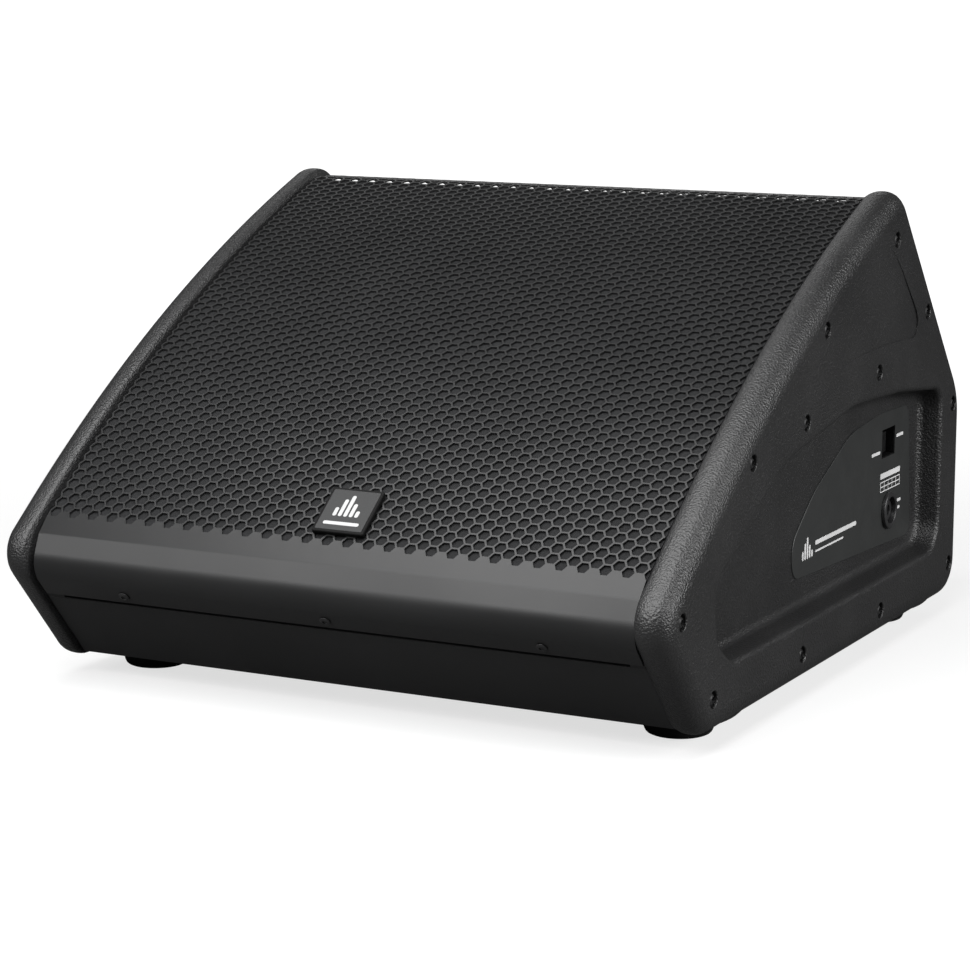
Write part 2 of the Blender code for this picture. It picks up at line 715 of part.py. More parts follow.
bm = bmesh.new()
basket_profile = [
    (155.0, 0.3),
    (155.0, 6.0),
    (134.5, 6.0),
    (134.5, 1.8),
    (127.0, 1.8),
    (126.0, -3.0),
    (90.0, -56.0),
    (90.0, -58.0),
    (78.0, -58.0),
    (76.0, -84.0),
    (44.0, -84.0),
    (44.0, -87.5),
    (82.0, -87.5),
    (83.5, -62.0),
    (94.0, -60.5),
    (131.5, -5.0),
    (138.5, -3.0),
    (139.0, 0.3),
]
lathe(bm, basket_profile, unit, 36)
basket = add_object("driver_basket", bm, "basket_metal")
windows = bmesh.new()
for k in range(3):
    spin = unit @ Matrix.Rotation(math.pi * k / 3, 4, "Z")
    corners = [(-30.0, -50.0), (30.0, -50.0), (36.0, -14.0), (-36.0, -14.0)]
    for sign in (-1.0, 1.0):
        ring0 = [spin @ Vector((sign * 60.0, a, h)) for a, h in corners]
        ring1 = [spin @ Vector((sign * 160.0, a, h)) for a, h in corners]
        loft(windows, [ring0, ring1])
cut(basket, windows, "basket_windows")

bm = bmesh.new()
magnet_profile = [
    (13.0, -136.0),
    (13.0, -82.0),
    (36.3, -82.0),
    (36.3, -127.0),
    (46.0, -127.0),
    (46.0, -97.0),
    (40.9, -97.0),
    (40.9, -88.0),
    (74.0, -88.0),
    (74.0, -96.0),
    (88.0, -97.0),
    (88.0, -126.0),
    (76.0, -128.0),
    (76.0, -136.0),
]
lathe(bm, magnet_profile, unit, 28)
add_object("driver_magnet", bm, "magnet")

bm = bmesh.new()
cone_profile = [
    (39.6, -52.0),
    (80.0, -28.5),
    (118.0, -2.6),
    (118.0, -1.0),
    (79.6, -26.9),
    (39.6, -50.4),
]
lathe(bm, cone_profile, unit, 36)
add_object("driver_cone", bm, "cone_paper", unit_origin)

bm = bmesh.new()
coil_profile = [(38.0, -112.0), (39.2, -112.0), (39.2, -48.0), (38.0, -48.0)]
lathe(bm, coil_profile, unit, 28)
add_object("voice_coil", bm, "coil_former", unit_origin)

bm = bmesh.new()
surround_top = []
surround_low = []
for k in range(6):
    a = math.pi * (1.0 - k / 5.0)
    surround_top.append((122.6 + 4.2 * math.cos(a), 2.4 + 6.0 * math.sin(a)))
    surround_low.append((122.6 + 3.3 * math.cos(a), 2.4 + 5.0 * math.sin(a)))
surround_profile = [(118.3, -1.4), (118.3, 2.4), *surround_top[1:-1], (126.9, 3.2), (133.8, 3.2), (133.8, 2.2)]
surround_profile += [(126.2, 2.2), *reversed(surround_low[1:-1]), (119.2, 2.4), (119.2, -1.4)]
lathe(bm, surround_profile, unit, 36)
add_object("surround", bm, "surround_cloth")

bm = bmesh.new()
spider_top = []
for k in range(10):
    radius = 39.6 + (87.0 - 39.6) * k / 9.0
    wave = 0.0 if k in (0, 7, 8, 9) else 1.6 * (-1.0) ** k
    spider_top.append((radius, -57.0 + wave))
spider_profile = [(r, h + 0.5) for r, h in spider_top] + [(r, h - 0.5) for r, h in reversed(spider_top)]
lathe(bm, spider_profile, unit, 28)
add_object("spider", bm, "spider_cloth")

bm = bmesh.new()
horn_profile = [
    (12.7, -81.6),
    (30.0, -81.6),
    (30.0, -78.0),
    (17.5, -76.0),
    (22.0, -60.0),
    (33.0, -42.0),
    (57.0, -24.0),
    (57.0, -21.5),
    (53.0, -21.5),
    (31.0, -37.5),
    (19.0, -57.0),
    (14.0, -74.0),
]
lathe(bm, horn_profile, unit, 28)
add_object("horn", bm, "horn_plastic")

bm = bmesh.new()
body_profile = [
    (12.7, -136.3),
    (45.0, -136.3),
    (47.0, -140.0),
    (47.0, -162.0),
    (44.5, -166.0),
    (24.0, -166.0),
    (19.0, -161.0),
    (12.7, -150.0),
]
lathe(bm, body_profile, unit, 24)
add_object("compression_driver_body", bm, "magnet")

bm = bmesh.new()
cap_profile = [
    (0.0, -182.0),
    (34.0, -182.0),
    (44.5, -176.0),
    (44.5, -166.4),
    (40.0, -166.4),
    (40.0, -174.5),
    (32.0, -179.6),
    (0.0, -179.6),
]
lathe(bm, cap_profile, unit, 24)
add_object("compression_driver_cap", bm, "magnet")

bm = bmesh.new()
dome_out = []
dome_in = []
for k in range(5):
    a = math.radians(58.0) * (1.0 - k / 4.0)
    dome_out.append((23.5 * math.sin(a) / math.sin(math.radians(58.0)), -168.3 - 13.0 * (math.cos(a) - math.cos(math.radians(58.0)))))
    dome_in.append((23.0 * math.sin(a) / math.sin(math.radians(58.0)), -167.7 - 13.0 * (math.cos(a) - math.cos(math.radians(58.0)))))
dome_profile = [(38.0, -167.7), (38.0, -168.3), *dome_out, *reversed(dome_in)]
lathe(bm, dome_profile, unit, 24)
add_object("hf_diaphragm", bm, "diaphragm", unit_origin)

for side, word in ((-1.0, "left"), (1.0, "right")):
    bm = bmesh.new()
    port_profile = [
        (PORT_R + 3.4, -92.0),
        (PORT_R + 3.4, 0.3),
        (PORT_R + 11.0, 0.3),
        (PORT_R + 11.0, 2.2),
        (PORT_R + 4.0, 3.6),
        (PORT_R + 1.0, 1.0),
        (PORT_R, -4.0),
        (PORT_R, -92.0),
    ]
    lathe(bm, port_profile, axis_matrix(side * PORT_X, PORT_U), 20)
    add_object(f"port_tube_{word}", bm, "port_plastic")

# ---------------------------------------------------------------- crossover and damping

bm = bmesh.new()
box(bm, (-80.0, 120.0, 43.0), (80.0, 235.0, 44.6))
board = add_object("crossover_board", bm, "circuit_board")
posts = bmesh.new()
for x in (-72.0, 72.0):
    for y in (128.0, 227.0):
        cylinder(posts, (x, y, 35.3), (x, y, 43.8), 4.0, 10)
cut(board, posts, "board_posts", "UNION")

for x, number in ((-45.0, 1), (45.0, 2)):
    bm = bmesh.new()
    lathe(bm, [(9.0, 0.0), (24.0, 0.0), (24.0, 20.0), (9.0, 20.0)], Matrix.Translation((x, 155.0, 44.9)), 24)
    add_object(f"crossover_coil_{number}", bm, "copper_coil")

for x, number in ((-35.0, 1), (35.0, 2)):
    bm = bmesh.new()
    cylinder(bm, (x - 18.0, 208.0, 54.2), (x + 18.0, 208.0, 54.2), 9.0, 16)
    add_object(f"crossover_capacitor_{number}", bm, "capacitor")

bm = bmesh.new()
box(bm, (-205.0, 254.0, 55.0), (205.0, REAR_Y - PLY - GAP, 175.0))
add_object("damping_pad", bm, "damping_fibre")
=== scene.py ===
"""The look of the stage monitor wedge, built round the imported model.

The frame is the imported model's: metres, +Z up, -Y the low front edge. Shapes are worked out in millimetres.
"""
import math

import bmesh
import bpy
import numpy as np
from mathutils import Matrix, Vector


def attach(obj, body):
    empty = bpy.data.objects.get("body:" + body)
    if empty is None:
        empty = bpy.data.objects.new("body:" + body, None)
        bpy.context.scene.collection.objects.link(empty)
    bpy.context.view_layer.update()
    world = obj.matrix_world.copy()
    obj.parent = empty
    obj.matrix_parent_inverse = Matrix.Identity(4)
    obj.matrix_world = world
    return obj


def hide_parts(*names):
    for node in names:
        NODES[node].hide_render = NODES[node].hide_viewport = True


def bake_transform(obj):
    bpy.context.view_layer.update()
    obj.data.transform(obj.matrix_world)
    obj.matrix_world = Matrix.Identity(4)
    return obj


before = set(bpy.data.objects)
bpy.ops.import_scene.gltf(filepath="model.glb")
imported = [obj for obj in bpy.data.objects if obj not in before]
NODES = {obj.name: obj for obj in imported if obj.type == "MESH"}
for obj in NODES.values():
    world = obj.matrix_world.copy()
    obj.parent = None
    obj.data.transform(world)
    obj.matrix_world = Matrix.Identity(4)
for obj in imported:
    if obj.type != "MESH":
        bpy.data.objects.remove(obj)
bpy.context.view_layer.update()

MM = 0.001
SIDES = (("right", 1.0), ("left", -1.0))


# ---------------------------------------------------------------- materials

def new_material(name, base, roughness, metallic=0.0):
    """An empty Principled material; returns (material, node tree, shader)."""
    m = bpy.data.materials.new(name)
    m.use_nodes = True
    tree = m.node_tree
    shader = next(n for n in tree.nodes if n.type == "BSDF_PRINCIPLED")
    shader.inputs["Base Color"].default_value = (*base, 1.0)
    shader.inputs["Roughness"].default_value = roughness
    shader.inputs["Metallic"].default_value = metallic
    m.diffuse_color = (*base, 1.0)
    return m, tree, shader


def place(tree):
    return tree.nodes.new("ShaderNodeTexCoord").outputs["Object"]


def noise(tree, scale, detail=2.0, rough=0.5, vector=None):
    n = tree.nodes.new("ShaderNodeTexNoise")
    n.inputs["Scale"].default_value = scale
    n.inputs["Detail"].default_value = detail
    n.inputs["Roughness"].default_value = rough
    tree.links.new(vector or place(tree), n.inputs["Vector"])
    return n.outputs["Fac"]


def cells(tree, scale, randomness=1.0, feature="SMOOTH_F1", vector=None):
    n = tree.nodes.new("ShaderNodeTexVoronoi")
    n.feature = feature
    n.inputs["Scale"].default_value = scale
    n.inputs["Randomness"].default_value = randomness
    if feature == "SMOOTH_F1":
        n.inputs["Smoothness"].default_value = 0.6
    tree.links.new(vector or place(tree), n.inputs["Vector"])
    return n.outputs["Distance"]


def spread(tree, value, low, high, start=0.3, end=0.7):
    """A value remapped from start..end to low..high."""
    n = tree.nodes.new("ShaderNodeMapRange")
    n.inputs["From Min"].default_value = start
    n.inputs["From Max"].default_value = end
    n.inputs["To Min"].default_value = low
    n.inputs["To Max"].default_value = high
    tree.links.new(value, n.inputs["Value"])
    return n.outputs["Result"]


def tint(tree, value, dark, light, start=0.3, end=0.7):
    n = tree.nodes.new("ShaderNodeValToRGB")
    n.color_ramp.elements[0].position = start
    n.color_ramp.elements[0].color = (*dark, 1.0)
    n.color_ramp.elements[1].position = end
    n.color_ramp.elements[1].color = (*light, 1.0)
    tree.links.new(value, n.inputs["Fac"])
    return n.outputs["Color"]


def total(tree, a, b, operation="ADD"):
    n = tree.nodes.new("ShaderNodeMath")
    n.operation = operation
    for socket, value in zip(n.inputs, (a, b)):
        if isinstance(value, float):
            socket.default_value = value
        else:
            tree.links.new(value, socket)
    return n.outputs["Value"]


def bump(tree, shader, height, distance, strength=1.0):
    n = tree.nodes.new("ShaderNodeBump")
    n.inputs["Strength"].default_value = strength
    n.inputs["Distance"].default_value = distance
    tree.links.new(height, n.inputs["Height"])
    tree.links.new(n.outputs["Normal"], shader.inputs["Normal"])


def moulded(name, base, light, roughness, grain_mm, depth_mm, specular=0.5):
    """Black moulded plastic with a pebbled grain."""
    m, tree, shader = new_material(name, base, roughness)
    shader.inputs["Specular IOR Level"].default_value = specular
    pebbles = cells(tree, 1.0 / (grain_mm * MM))
    fine = noise(tree, 2.6 / (grain_mm * MM), 2.0)
    height = total(tree, total(tree, pebbles, 0.9, "MULTIPLY"), total(tree, fine, 0.35, "MULTIPLY"))
    bump(tree, shader, height, depth_mm * MM)
    cloud = noise(tree, 14.0, 3.0)
    speck = total(tree, total(tree, cloud, 0.6, "MULTIPLY"), total(tree, fine, 0.4, "MULTIPLY"))
    tree.links.new(tint(tree, speck, base, light), shader.inputs["Base Color"])
    tree.links.new(spread(tree, cloud, roughness - 0.04, roughness + 0.05), shader.inputs["Roughness"])
    return m


def coated(name, base, light, roughness, grain_mm, depth_mm, specular=0.5, metallic=0.0):
    """Paint or powder coat with a faint orange-peel surface."""
    m, tree, shader = new_material(name, base, roughness, metallic)
    shader.inputs["Specular IOR Level"].default_value = specular
    peel = noise(tree, 1.0 / (grain_mm * MM), 3.0, 0.55)
    bump(tree, shader, peel, depth_mm * MM)
    cloud = noise(tree, 9.0, 4.0)
    tree.links.new(tint(tree, cloud, base, light), shader.inputs["Base Color"])
    tree.links.new(spread(tree, cloud, roughness - 0.03, roughness + 0.04), shader.inputs["Roughness"])
    return m


def plain(name, base, light, roughness, metallic=0.0, specular=0.5, scale=40.0):
    """A smooth finish with slight variation of tone and gloss."""
    m, tree, shader = new_material(name, base, roughness, metallic)
    shader.inputs["Specular IOR Level"].default_value = specular
    cloud = noise(tree, scale, 4.0)
    tree.links.new(tint(tree, cloud, base, light), shader.inputs["Base Color"])
    tree.links.new(spread(tree, cloud, roughness - 0.05, roughness + 0.06), shader.inputs["Roughness"])
    bump(tree, shader, noise(tree, 900.0, 2.0), 0.00004)
    return m


CHEEK = moulded("cheek_grain", (0.0112, 0.0112, 0.0115), (0.0170, 0.0170, 0.0173), 0.37, 1.55, 0.60, 0.50)
GRILLE = coated(
    "grille_powder_coat", (0.0100, 0.0101, 0.0103), (0.0128, 0.0129, 0.0132), 0.40, 0.7, 0.012, 0.33,
)
FOAM = moulded("grille_foam_pores", (0.0125, 0.0127, 0.0132), (0.0190, 0.0193, 0.0200), 0.95, 0.8, 0.35, 0.1)
PANEL = coated("panel_paint", (0.0200, 0.0200, 0.0205), (0.0270, 0.0270, 0.0275), 0.62, 1.6, 0.05, 0.25)
BADGE_FACE = plain("badge_face_satin", (0.0215, 0.0218, 0.0222), (0.0250, 0.0253, 0.0257), 0.50, specular=0.2)
# Near-black badge base: partly the real black rim, partly a painted shadow round the badge
BADGE_RIM_AND_PAINTED_SHADOW = plain("badge_rim_black_and_painted_shadow", (0.0030, 0.0030, 0.0030), (0.0045, 0.0045, 0.0045), 0.55, specular=0.08)
PRINT = plain("printed_white", (0.60, 0.60, 0.60), (0.68, 0.68, 0.68), 0.6, specular=0.2)
BADGE_PRINT = plain("badge_print", (0.34, 0.34, 0.34), (0.38, 0.38, 0.38), 0.6, specular=0.2)
PLATE = plain("plate_overlay", (0.0250, 0.0262, 0.0259), (0.0278, 0.0291, 0.0288), 0.42, specular=0.3)
SOCKET = plain("connector_nylon", (0.014, 0.014, 0.015), (0.022, 0.022, 0.023), 0.38, specular=0.45)
SWITCH = plain("switch_nylon", (0.0045, 0.0045, 0.0048), (0.0085, 0.0085, 0.0088), 0.45, specular=0.2)
SCREW = plain(
    "screw_black_oxide", (0.014, 0.014, 0.0145), (0.022, 0.022, 0.0225), 0.50, specular=0.35, scale=200.0,
)
RUBBER = moulded("foot_rubber", (0.0055, 0.0055, 0.0056), (0.0105, 0.0105, 0.0106), 0.72, 0.5, 0.05, 0.2)
BASKET = coated("basket_powder_coat", (0.030, 0.030, 0.032), (0.045, 0.045, 0.047), 0.45, 0.8, 0.02)
MAGNET = plain("magnet_plate", (0.10, 0.10, 0.105), (0.15, 0.15, 0.155), 0.38, 0.8)
CONE = moulded("cone_paper", (0.012, 0.012, 0.012), (0.024, 0.024, 0.023), 0.85, 1.2, 0.12, 0.2)
CLOTH = moulded("surround_cloth", (0.012, 0.012, 0.012), (0.022, 0.022, 0.022), 0.8, 0.7, 0.1, 0.2)
AMBER = moulded("spider_cloth", (0.36, 0.23, 0.08), (0.46, 0.31, 0.13), 0.8, 0.7, 0.1, 0.3)
COIL = plain("voice_coil_winding", (0.38, 0.20, 0.07), (0.50, 0.28, 0.10), 0.35, 0.9)
HORN = plain("horn_plastic", (0.010, 0.010, 0.011), (0.018, 0.018, 0.019), 0.40)
DOME = plain("diaphragm_foil", (0.62, 0.62, 0.64), (0.72, 0.72, 0.74), 0.25, 1.0)
PORT = plain("port_tube_plastic", (0.010, 0.010, 0.011), (0.018, 0.018, 0.019), 0.5)
BOARD = plain("circuit_board", (0.015, 0.11, 0.045), (0.03, 0.15, 0.06), 0.4)
WIRE = plain("enamelled_copper", (0.45, 0.17, 0.06), (0.60, 0.26, 0.10), 0.28, 0.9)
FILM = plain("capacitor_film", (0.30, 0.05, 0.035), (0.40, 0.075, 0.05), 0.25)
WADDING = moulded("wadding", (0.50, 0.50, 0.47), (0.70, 0.70, 0.66), 0.95, 6.0, 2.0, 0.1)


# ---------------------------------------------------------------- mesh helpers, all in millimetres

SHARP_ANGLE = 32.0


def unit(v):
    return v / np.linalg.norm(v)


def meet(p, d, q, e):
    """Where the line p + t d meets the line q + s e."""
    t = np.linalg.solve(np.array([d, -e]).T, q - p)
    return p + d * t[0]


def rounded(corners, steps=8):
    """A closed YZ outline from (y, z, radius) corners."""
    points = []
    count = len(corners)
    for i in range(count):
        here = np.array(corners[i][:2], float)
        back = np.array(corners[i - 1][:2]) - here
        ahead = np.array(corners[(i + 1) % count][:2]) - here
        if corners[i][2] <= 0:
            points.append(here)
            continue
        limit = 0.49 * min(np.linalg.norm(back), np.linalg.norm(ahead))
        back, ahead = unit(back), unit(ahead)
        half = math.acos(float(np.clip(back @ ahead, -1.0, 1.0))) / 2
        reach = min(corners[i][2] / math.tan(half), limit)
        radius = reach * math.tan(half)
        centre = here + unit(back + ahead) * radius / math.sin(half)
        start = here + back * reach - centre
        end = here + ahead * reach - centre
        a0 = math.atan2(start[1], start[0])
        turn = (math.atan2(end[1], end[0]) - a0 + math.pi) % (2 * math.pi) - math.pi
        for k in range(steps + 1):
            a = a0 + turn * k / steps
            points.append(centre + radius * np.array([math.cos(a), math.sin(a)]))
    return points


def frame_matrix(origin, axis, side=(1.0, 0.0, 0.0)):
    """A matrix whose local Z runs along axis from origin."""
    z = Vector(axis).normalized()
    x = (Vector(side) - z * Vector(side).dot(z)).normalized()
    y = z.cross(x)
    matrix = Matrix((x, y, z)).transposed().to_4x4()
    matrix.translation = Vector(origin)
    return matrix


def loft(bm, rings):
    """Skin over a row of rings with equal counts, closed at both ends."""
    made = [[bm.verts.new(point) for point in ring] for ring in rings]
    count = len(made[0])
    for low, high in zip(made, made[1:]):
        for i in range(count):
            j = (i + 1) % count
            bm.faces.new((low[i], low[j], high[j], high[i]))
    bm.faces.new(list(reversed(made[0])))
    bm.faces.new(made[-1])


def lathe(bm, profile, matrix, segments=48):
    """Turn an (r, z) profile about the matrix's Z; points at r = 0 close on the axis."""
    rings = []
    for r, z in profile:
        if r <= 1e-6:
            rings.append([bm.verts.new(matrix @ Vector((0.0, 0.0, z)))])
            continue
        ring = []
        for k in range(segments):
            a = 2 * math.pi * k / segments
            ring.append(bm.verts.new(matrix @ Vector((r * math.cos(a), r * math.sin(a), z))))
        rings.append(ring)
    pairs = list(zip(rings, rings[1:]))
    if profile[0][0] > 1e-6 or profile[-1][0] > 1e-6:
        pairs.append((rings[-1], rings[0]))
    for low, high in pairs:
        if len(low) == 1 and len(high) == 1:
            continue
        for i in range(segments):
            j = (i + 1) % segments
            if len(low) == 1:
                bm.faces.new((low[0], high[j], high[i]))
            elif len(high) == 1:
                bm.faces.new((low[i], low[j], high[0]))
            else:
                bm.faces.new((low[i], low[j], high[j], high[i]))


def block(bm, low, high):
    """A box between two opposite corners."""
    (x0, y0, z0), (x1, y1, z1) = low, high
    ring = [(x0, y0), (x1, y0), (x1, y1), (x0, y1)]
    loft(bm, [[(x, y, z0) for x, y in ring], [(x, y, z1) for x, y in ring]])


def soften(bm, width, segments=2, angle=SHARP_ANGLE):
    """Round every edge sharper than an angle."""
    bmesh.ops.recalc_face_normals(bm, faces=bm.faces)
    edges = [e for e in bm.edges if len(e.link_faces) == 2 and e.calc_face_angle(0.0) > math.radians(angle)]
    bmesh.ops.bevel(
        bm, geom=edges, offset=width, offset_type="OFFSET", segments=segments, profile=0.5, affect="EDGES",
        clamp_overlap=True,
    )


def to_mesh(bm, name):
    """The bmesh in metres, smooth except at real edges."""
    bmesh.ops.recalc_face_normals(bm, faces=bm.faces)
    bmesh.ops.scale(bm, vec=(MM, MM, MM), verts=bm.verts)
    mesh = bpy.data.meshes.new(name)
    bm.to_mesh(mesh)
    bm.free()
    mesh.shade_smooth()
    mesh.set_sharp_from_angle(angle=math.radians(SHARP_ANGLE))
    return mesh


def piece(name, bm, mat, body="cabinet", replaces=()):
    """A visible piece from a bmesh in millimetres, riding on a body and standing for CAD nodes."""
    obj = bpy.data.objects.new(name, to_mesh(bm, name))
    bpy.context.scene.collection.objects.link(obj)
    obj.data.materials.append(mat)
    if replaces:
        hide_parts(*replaces)
    if body:
        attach(obj, body)
    return obj


def carve(bm, cutter, operation="DIFFERENCE"):
    """A new bmesh: bm with the cutter taken away or joined on."""
    made = []
    for part in (bm, cutter):
        bmesh.ops.recalc_face_normals(part, faces=part.faces)
        mesh = bpy.data.meshes.new("carve")
        part.to_mesh(mesh)
        part.free()
        obj = bpy.data.objects.new("carve", mesh)
        bpy.context.scene.collection.objects.link(obj)
        made.append(obj)
    target, tool = made
    modifier = target.modifiers.new("carve", "BOOLEAN")
    modifier.operation = operation
    modifier.object = tool
    modifier.solver = "EXACT"
    result = bmesh.new()
    result.from_object(target, bpy.context.evaluated_depsgraph_get())
    for obj in made:
        mesh = obj.data
        bpy.data.objects.remove(obj, do_unlink=True)
        bpy.data.meshes.remove(mesh)
    return result


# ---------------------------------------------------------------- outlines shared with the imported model

BOTTOM_Z = 19.3
SLOPE_START = np.array([-276.9, 134.0])
SLOPE_END = np.array([107.0, 351.5])
SLOPE_RADIUS = 1420.0
GRILLE_T = 1.5
LIP_TRIM = 5.5
GRILLE_HALF_X = 243.0
NOSE_CREASE = (-288.5, 121.8, 6.0)
NOSE_REACH = 34.0
NOSE_R = 27.0
LIP_END = np.array([-277.4, 70.5])
LIP_DIR = unit(np.array([-0.65, 0.76]))
LIP_OUT = unit(np.array([-0.76, -0.65]))
FOLD_RADIUS = 40.0
FOLD_END_Z = 315.5
SLANT_DIR = np.array([-0.656, 0.7547])
SLANT_OUT = np.array([0.7547, 0.656])
SLANT_CORNER = np.array([294.0, 183.7])
SLANT_SET_BACK = 1.7
SLOPE_START_R = 26.0
ALONG_Y = np.array([1.0, 0.0])

chord_dir = unit(SLOPE_END - SLOPE_START)
chord_out = np.array([-chord_dir[1], chord_dir[0]])
half_chord = np.linalg.norm(SLOPE_END - SLOPE_START) / 2
arc_centre = (SLOPE_START + SLOPE_END) / 2 - chord_out * math.sqrt(SLOPE_RADIUS**2 - half_chord**2)
angle_start = math.atan2(*(SLOPE_START - arc_centre)[::-1])
angle_end = math.atan2(*(SLOPE_END - arc_centre)[::-1])
top_dir = np.array([math.sin(angle_end), -math.cos(angle_end)])


def slope_points(offset, count):
    """Points along the grille's curved slope, moved outwards by an offset."""
    points = []
    for k in range(count):
        a = angle_start + (angle_end - angle_start) * k / (count - 1)
        points.append(arc_centre + (SLOPE_RADIUS + offset) * np.array([math.cos(a), math.sin(a)]))
    return points


def grille_line(steps=28, along=161):
    """The grille's outer line from the lip's end to the rear fold's end: an open polyline."""
    corner = LIP_END + LIP_DIR * NOSE_REACH
    front = [(*LIP_END, 0.0), (*corner, NOSE_R), NOSE_CREASE]
    slope = slope_points(0.0, along)
    slant = SLANT_CORNER - SLANT_OUT * SLANT_SET_BACK
    fold = meet(slope[-1], top_dir, slant, SLANT_DIR)
    end = meet(slant, SLANT_DIR, np.array([0.0, FOLD_END_Z]), ALONG_Y)
    first = rounded([*front, (*slope[0], SLOPE_START_R), (*slope[3], 0.0), (0.0, 60.0, 0.0)], steps)[:-2]
    last = rounded([(*slope[-2], 0.0), (*fold, FOLD_RADIUS), (*end, 0.0), (0.0, 60.0, 0.0)], steps)[1:-1]
    return np.array(first + slope[3:-1] + last)


LINE = grille_line()
LINE_S = np.concatenate([[0.0], np.cumsum(np.linalg.norm(np.diff(LINE, axis=0), axis=1))])


def on_line(s):
    """(point, outward normal) at a length s along the grille line."""
    s = np.atleast_1d(s)
    point = np.stack([np.interp(s, LINE_S, LINE[:, k]) for k in (0, 1)], 1)
    step = 0.6
    ahead = np.stack([np.interp(s + step, LINE_S, LINE[:, k]) for k in (0, 1)], 1)
    behind = np.stack([np.interp(s - step, LINE_S, LINE[:, k]) for k in (0, 1)], 1)
    along = ahead - behind
    along /= np.linalg.norm(along, axis=1)[:, None]
    return point, np.stack([-along[:, 1], along[:, 0]], 1)


# ---------------------------------------------------------------- perforated grille

HOLE_X, HOLE_Y = 12.06, -90.76
PITCH_X, PITCH_Y = 8.31, 7.649
HOLE_SHARE = 0.855
LOWEST_ROW = -24
FOLD_ROW = 25.0
PLAIN_END = 7.0
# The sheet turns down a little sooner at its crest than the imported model's
CREST_DROP, CREST_REACH = 3.0, 13.0

slope_part = LINE[:, 1] > 118.0
fold_s = float(np.interp(HOLE_Y + PITCH_Y * FOLD_ROW, LINE[slope_part, 0], LINE_S[slope_part]))
fold_pitch = PITCH_Y / math.cos(angle_end - math.pi / 2)
top_row = FOLD_ROW + math.floor((LINE_S[-1] - PLAIN_END - fold_s) / fold_pitch) - 1


def row_s(row):
    """Where a row of holes is along the grille line: even in plan on the slope, along the sheet past it."""
    if row > FOLD_ROW:
        return fold_s + (row - FOLD_ROW) * fold_pitch
    return float(np.interp(HOLE_Y + PITCH_Y * row, LINE[slope_part, 0], LINE_S[slope_part]))


def flat_grille():
    """The grille as a flat sheet in (x, s): a honeycomb of holes with plain ends, cut square at the sides."""
    bm = bmesh.new()
    shared = {}

    def corner(x, s):
        key = (round(x * 50), round(s * 50))
        if key not in shared:
            shared[key] = bm.verts.new((x, s, 0.0))
        return shared[key]

    offsets = [(2 / 3, 0.0), (1 / 3, 0.5), (-1 / 3, 0.5), (-2 / 3, 0.0), (-1 / 3, -0.5), (1 / 3, -0.5)]
    first = math.floor((-GRILLE_HALF_X - HOLE_X) / PITCH_X) - 1
    last = math.ceil((GRILLE_HALF_X - HOLE_X) / PITCH_X) + 1
    if first % 2:
        first -= 1
    if last % 2:
        last += 1
    low_edge, high_edge = [], []
    for column in range(first, last + 1):
        x = HOLE_X + PITCH_X * column
        odd = column % 2
        count = int(top_row) - LOWEST_ROW + (0 if odd else 1)
        for k in range(count):
            row = LOWEST_ROW + k + 0.5 * odd
            ring = [(x + PITCH_X * a, row_s(row + b)) for a, b in offsets]
            middle = row_s(row)
            outer = [corner(*p) for p in ring]
            hole = []
            for px, ps in ring:
                inner = (x + (px - x) * HOLE_SHARE, middle + (ps - middle) * HOLE_SHARE, 0.0)
                hole.append(bm.verts.new(inner))
            for i in range(6):
                j = (i + 1) % 6
                bm.faces.new((outer[i], outer[j], hole[j], hole[i]))
            if k == 0:
                low_edge += [outer[4], outer[5]]
            if k == count - 1:
                high_edge += [outer[2], outer[1]]
    cuts = LINE_S[(LINE_S > LIP_TRIM + 0.3) & (LINE_S < low_edge[0].co.y - 1.2)]
    cuts = [LIP_TRIM] + [s for i, s in enumerate(cuts) if i == 0 or s - cuts[i - 1] > 0.05]
    cuts.append(low_edge[0].co.y - 0.5)
    strips = [(low_edge, cuts[::-1]), (high_edge, list(np.linspace(high_edge[0].co.y + 1.5, LINE_S[-1], 4)))]
    for edge, levels in strips:
        before = edge
        for s in levels:
            row = [bm.verts.new((v.co.x, s, 0.0)) for v in edge]
            for i in range(len(row) - 1):
                bm.faces.new((before[i], before[i + 1], row[i + 1], row[i]))
            before = row
    for side in (-1.0, 1.0):
        geom = bm.verts[:] + bm.edges[:] + bm.faces[:]
        end = (side * GRILLE_HALF_X, 0, 0)
        out = (side, 0, 0)
        bmesh.ops.bisect_plane(bm, geom=geom, dist=1e-4, plane_co=end, plane_no=out, clear_outer=True)
    bmesh.ops.remove_doubles(bm, verts=bm.verts, dist=0.004)
    bmesh.ops.recalc_face_normals(bm, faces=bm.faces)
    if sum(f.normal.z for f in bm.faces) < 0:
        bmesh.ops.reverse_faces(bm, faces=bm.faces)
    return bm


# The fold's crest, where the sheet turns over to the rear
crest_s = float(LINE_S[np.argmax(LINE[:, 1])])


def folded_sheet(flat, thickness):
    """Fold the flat sheet along the grille line and give it its thickness."""
    flat.verts.index_update()
    co = np.array([v.co[:2] for v in flat.verts])
    point, out = on_line(co[:, 1])
    near = np.clip(1.0 - np.abs(co[:, 1] - crest_s) / CREST_REACH, 0.0, 1.0)
    point[:, 1] -= CREST_DROP * near * near * (3.0 - 2.0 * near)
    bm = bmesh.new()
    outer = [bm.verts.new((x, *p)) for x, p in zip(co[:, 0], point)]
    inner = [bm.verts.new((x, *p)) for x, p in zip(co[:, 0], point - out * thickness)]
    for f in flat.faces:
        index = [v.index for v in f.verts]
        bm.faces.new([outer[i] for i in index])
        bm.faces.new([inner[i] for i in reversed(index)])
    for e in flat.edges:
        if len(e.link_loops) == 1:
            loop = e.link_loops[0]
            a, b = loop.vert.index, loop.link_loop_next.vert.index
            bm.faces.new((outer[b], outer[a], inner[a], inner[b]))
    flat.free()
    return bm


sheet = folded_sheet(flat_grille(), GRILLE_T)
piece("grille_perforated", sheet, GRILLE, replaces=["grille"])

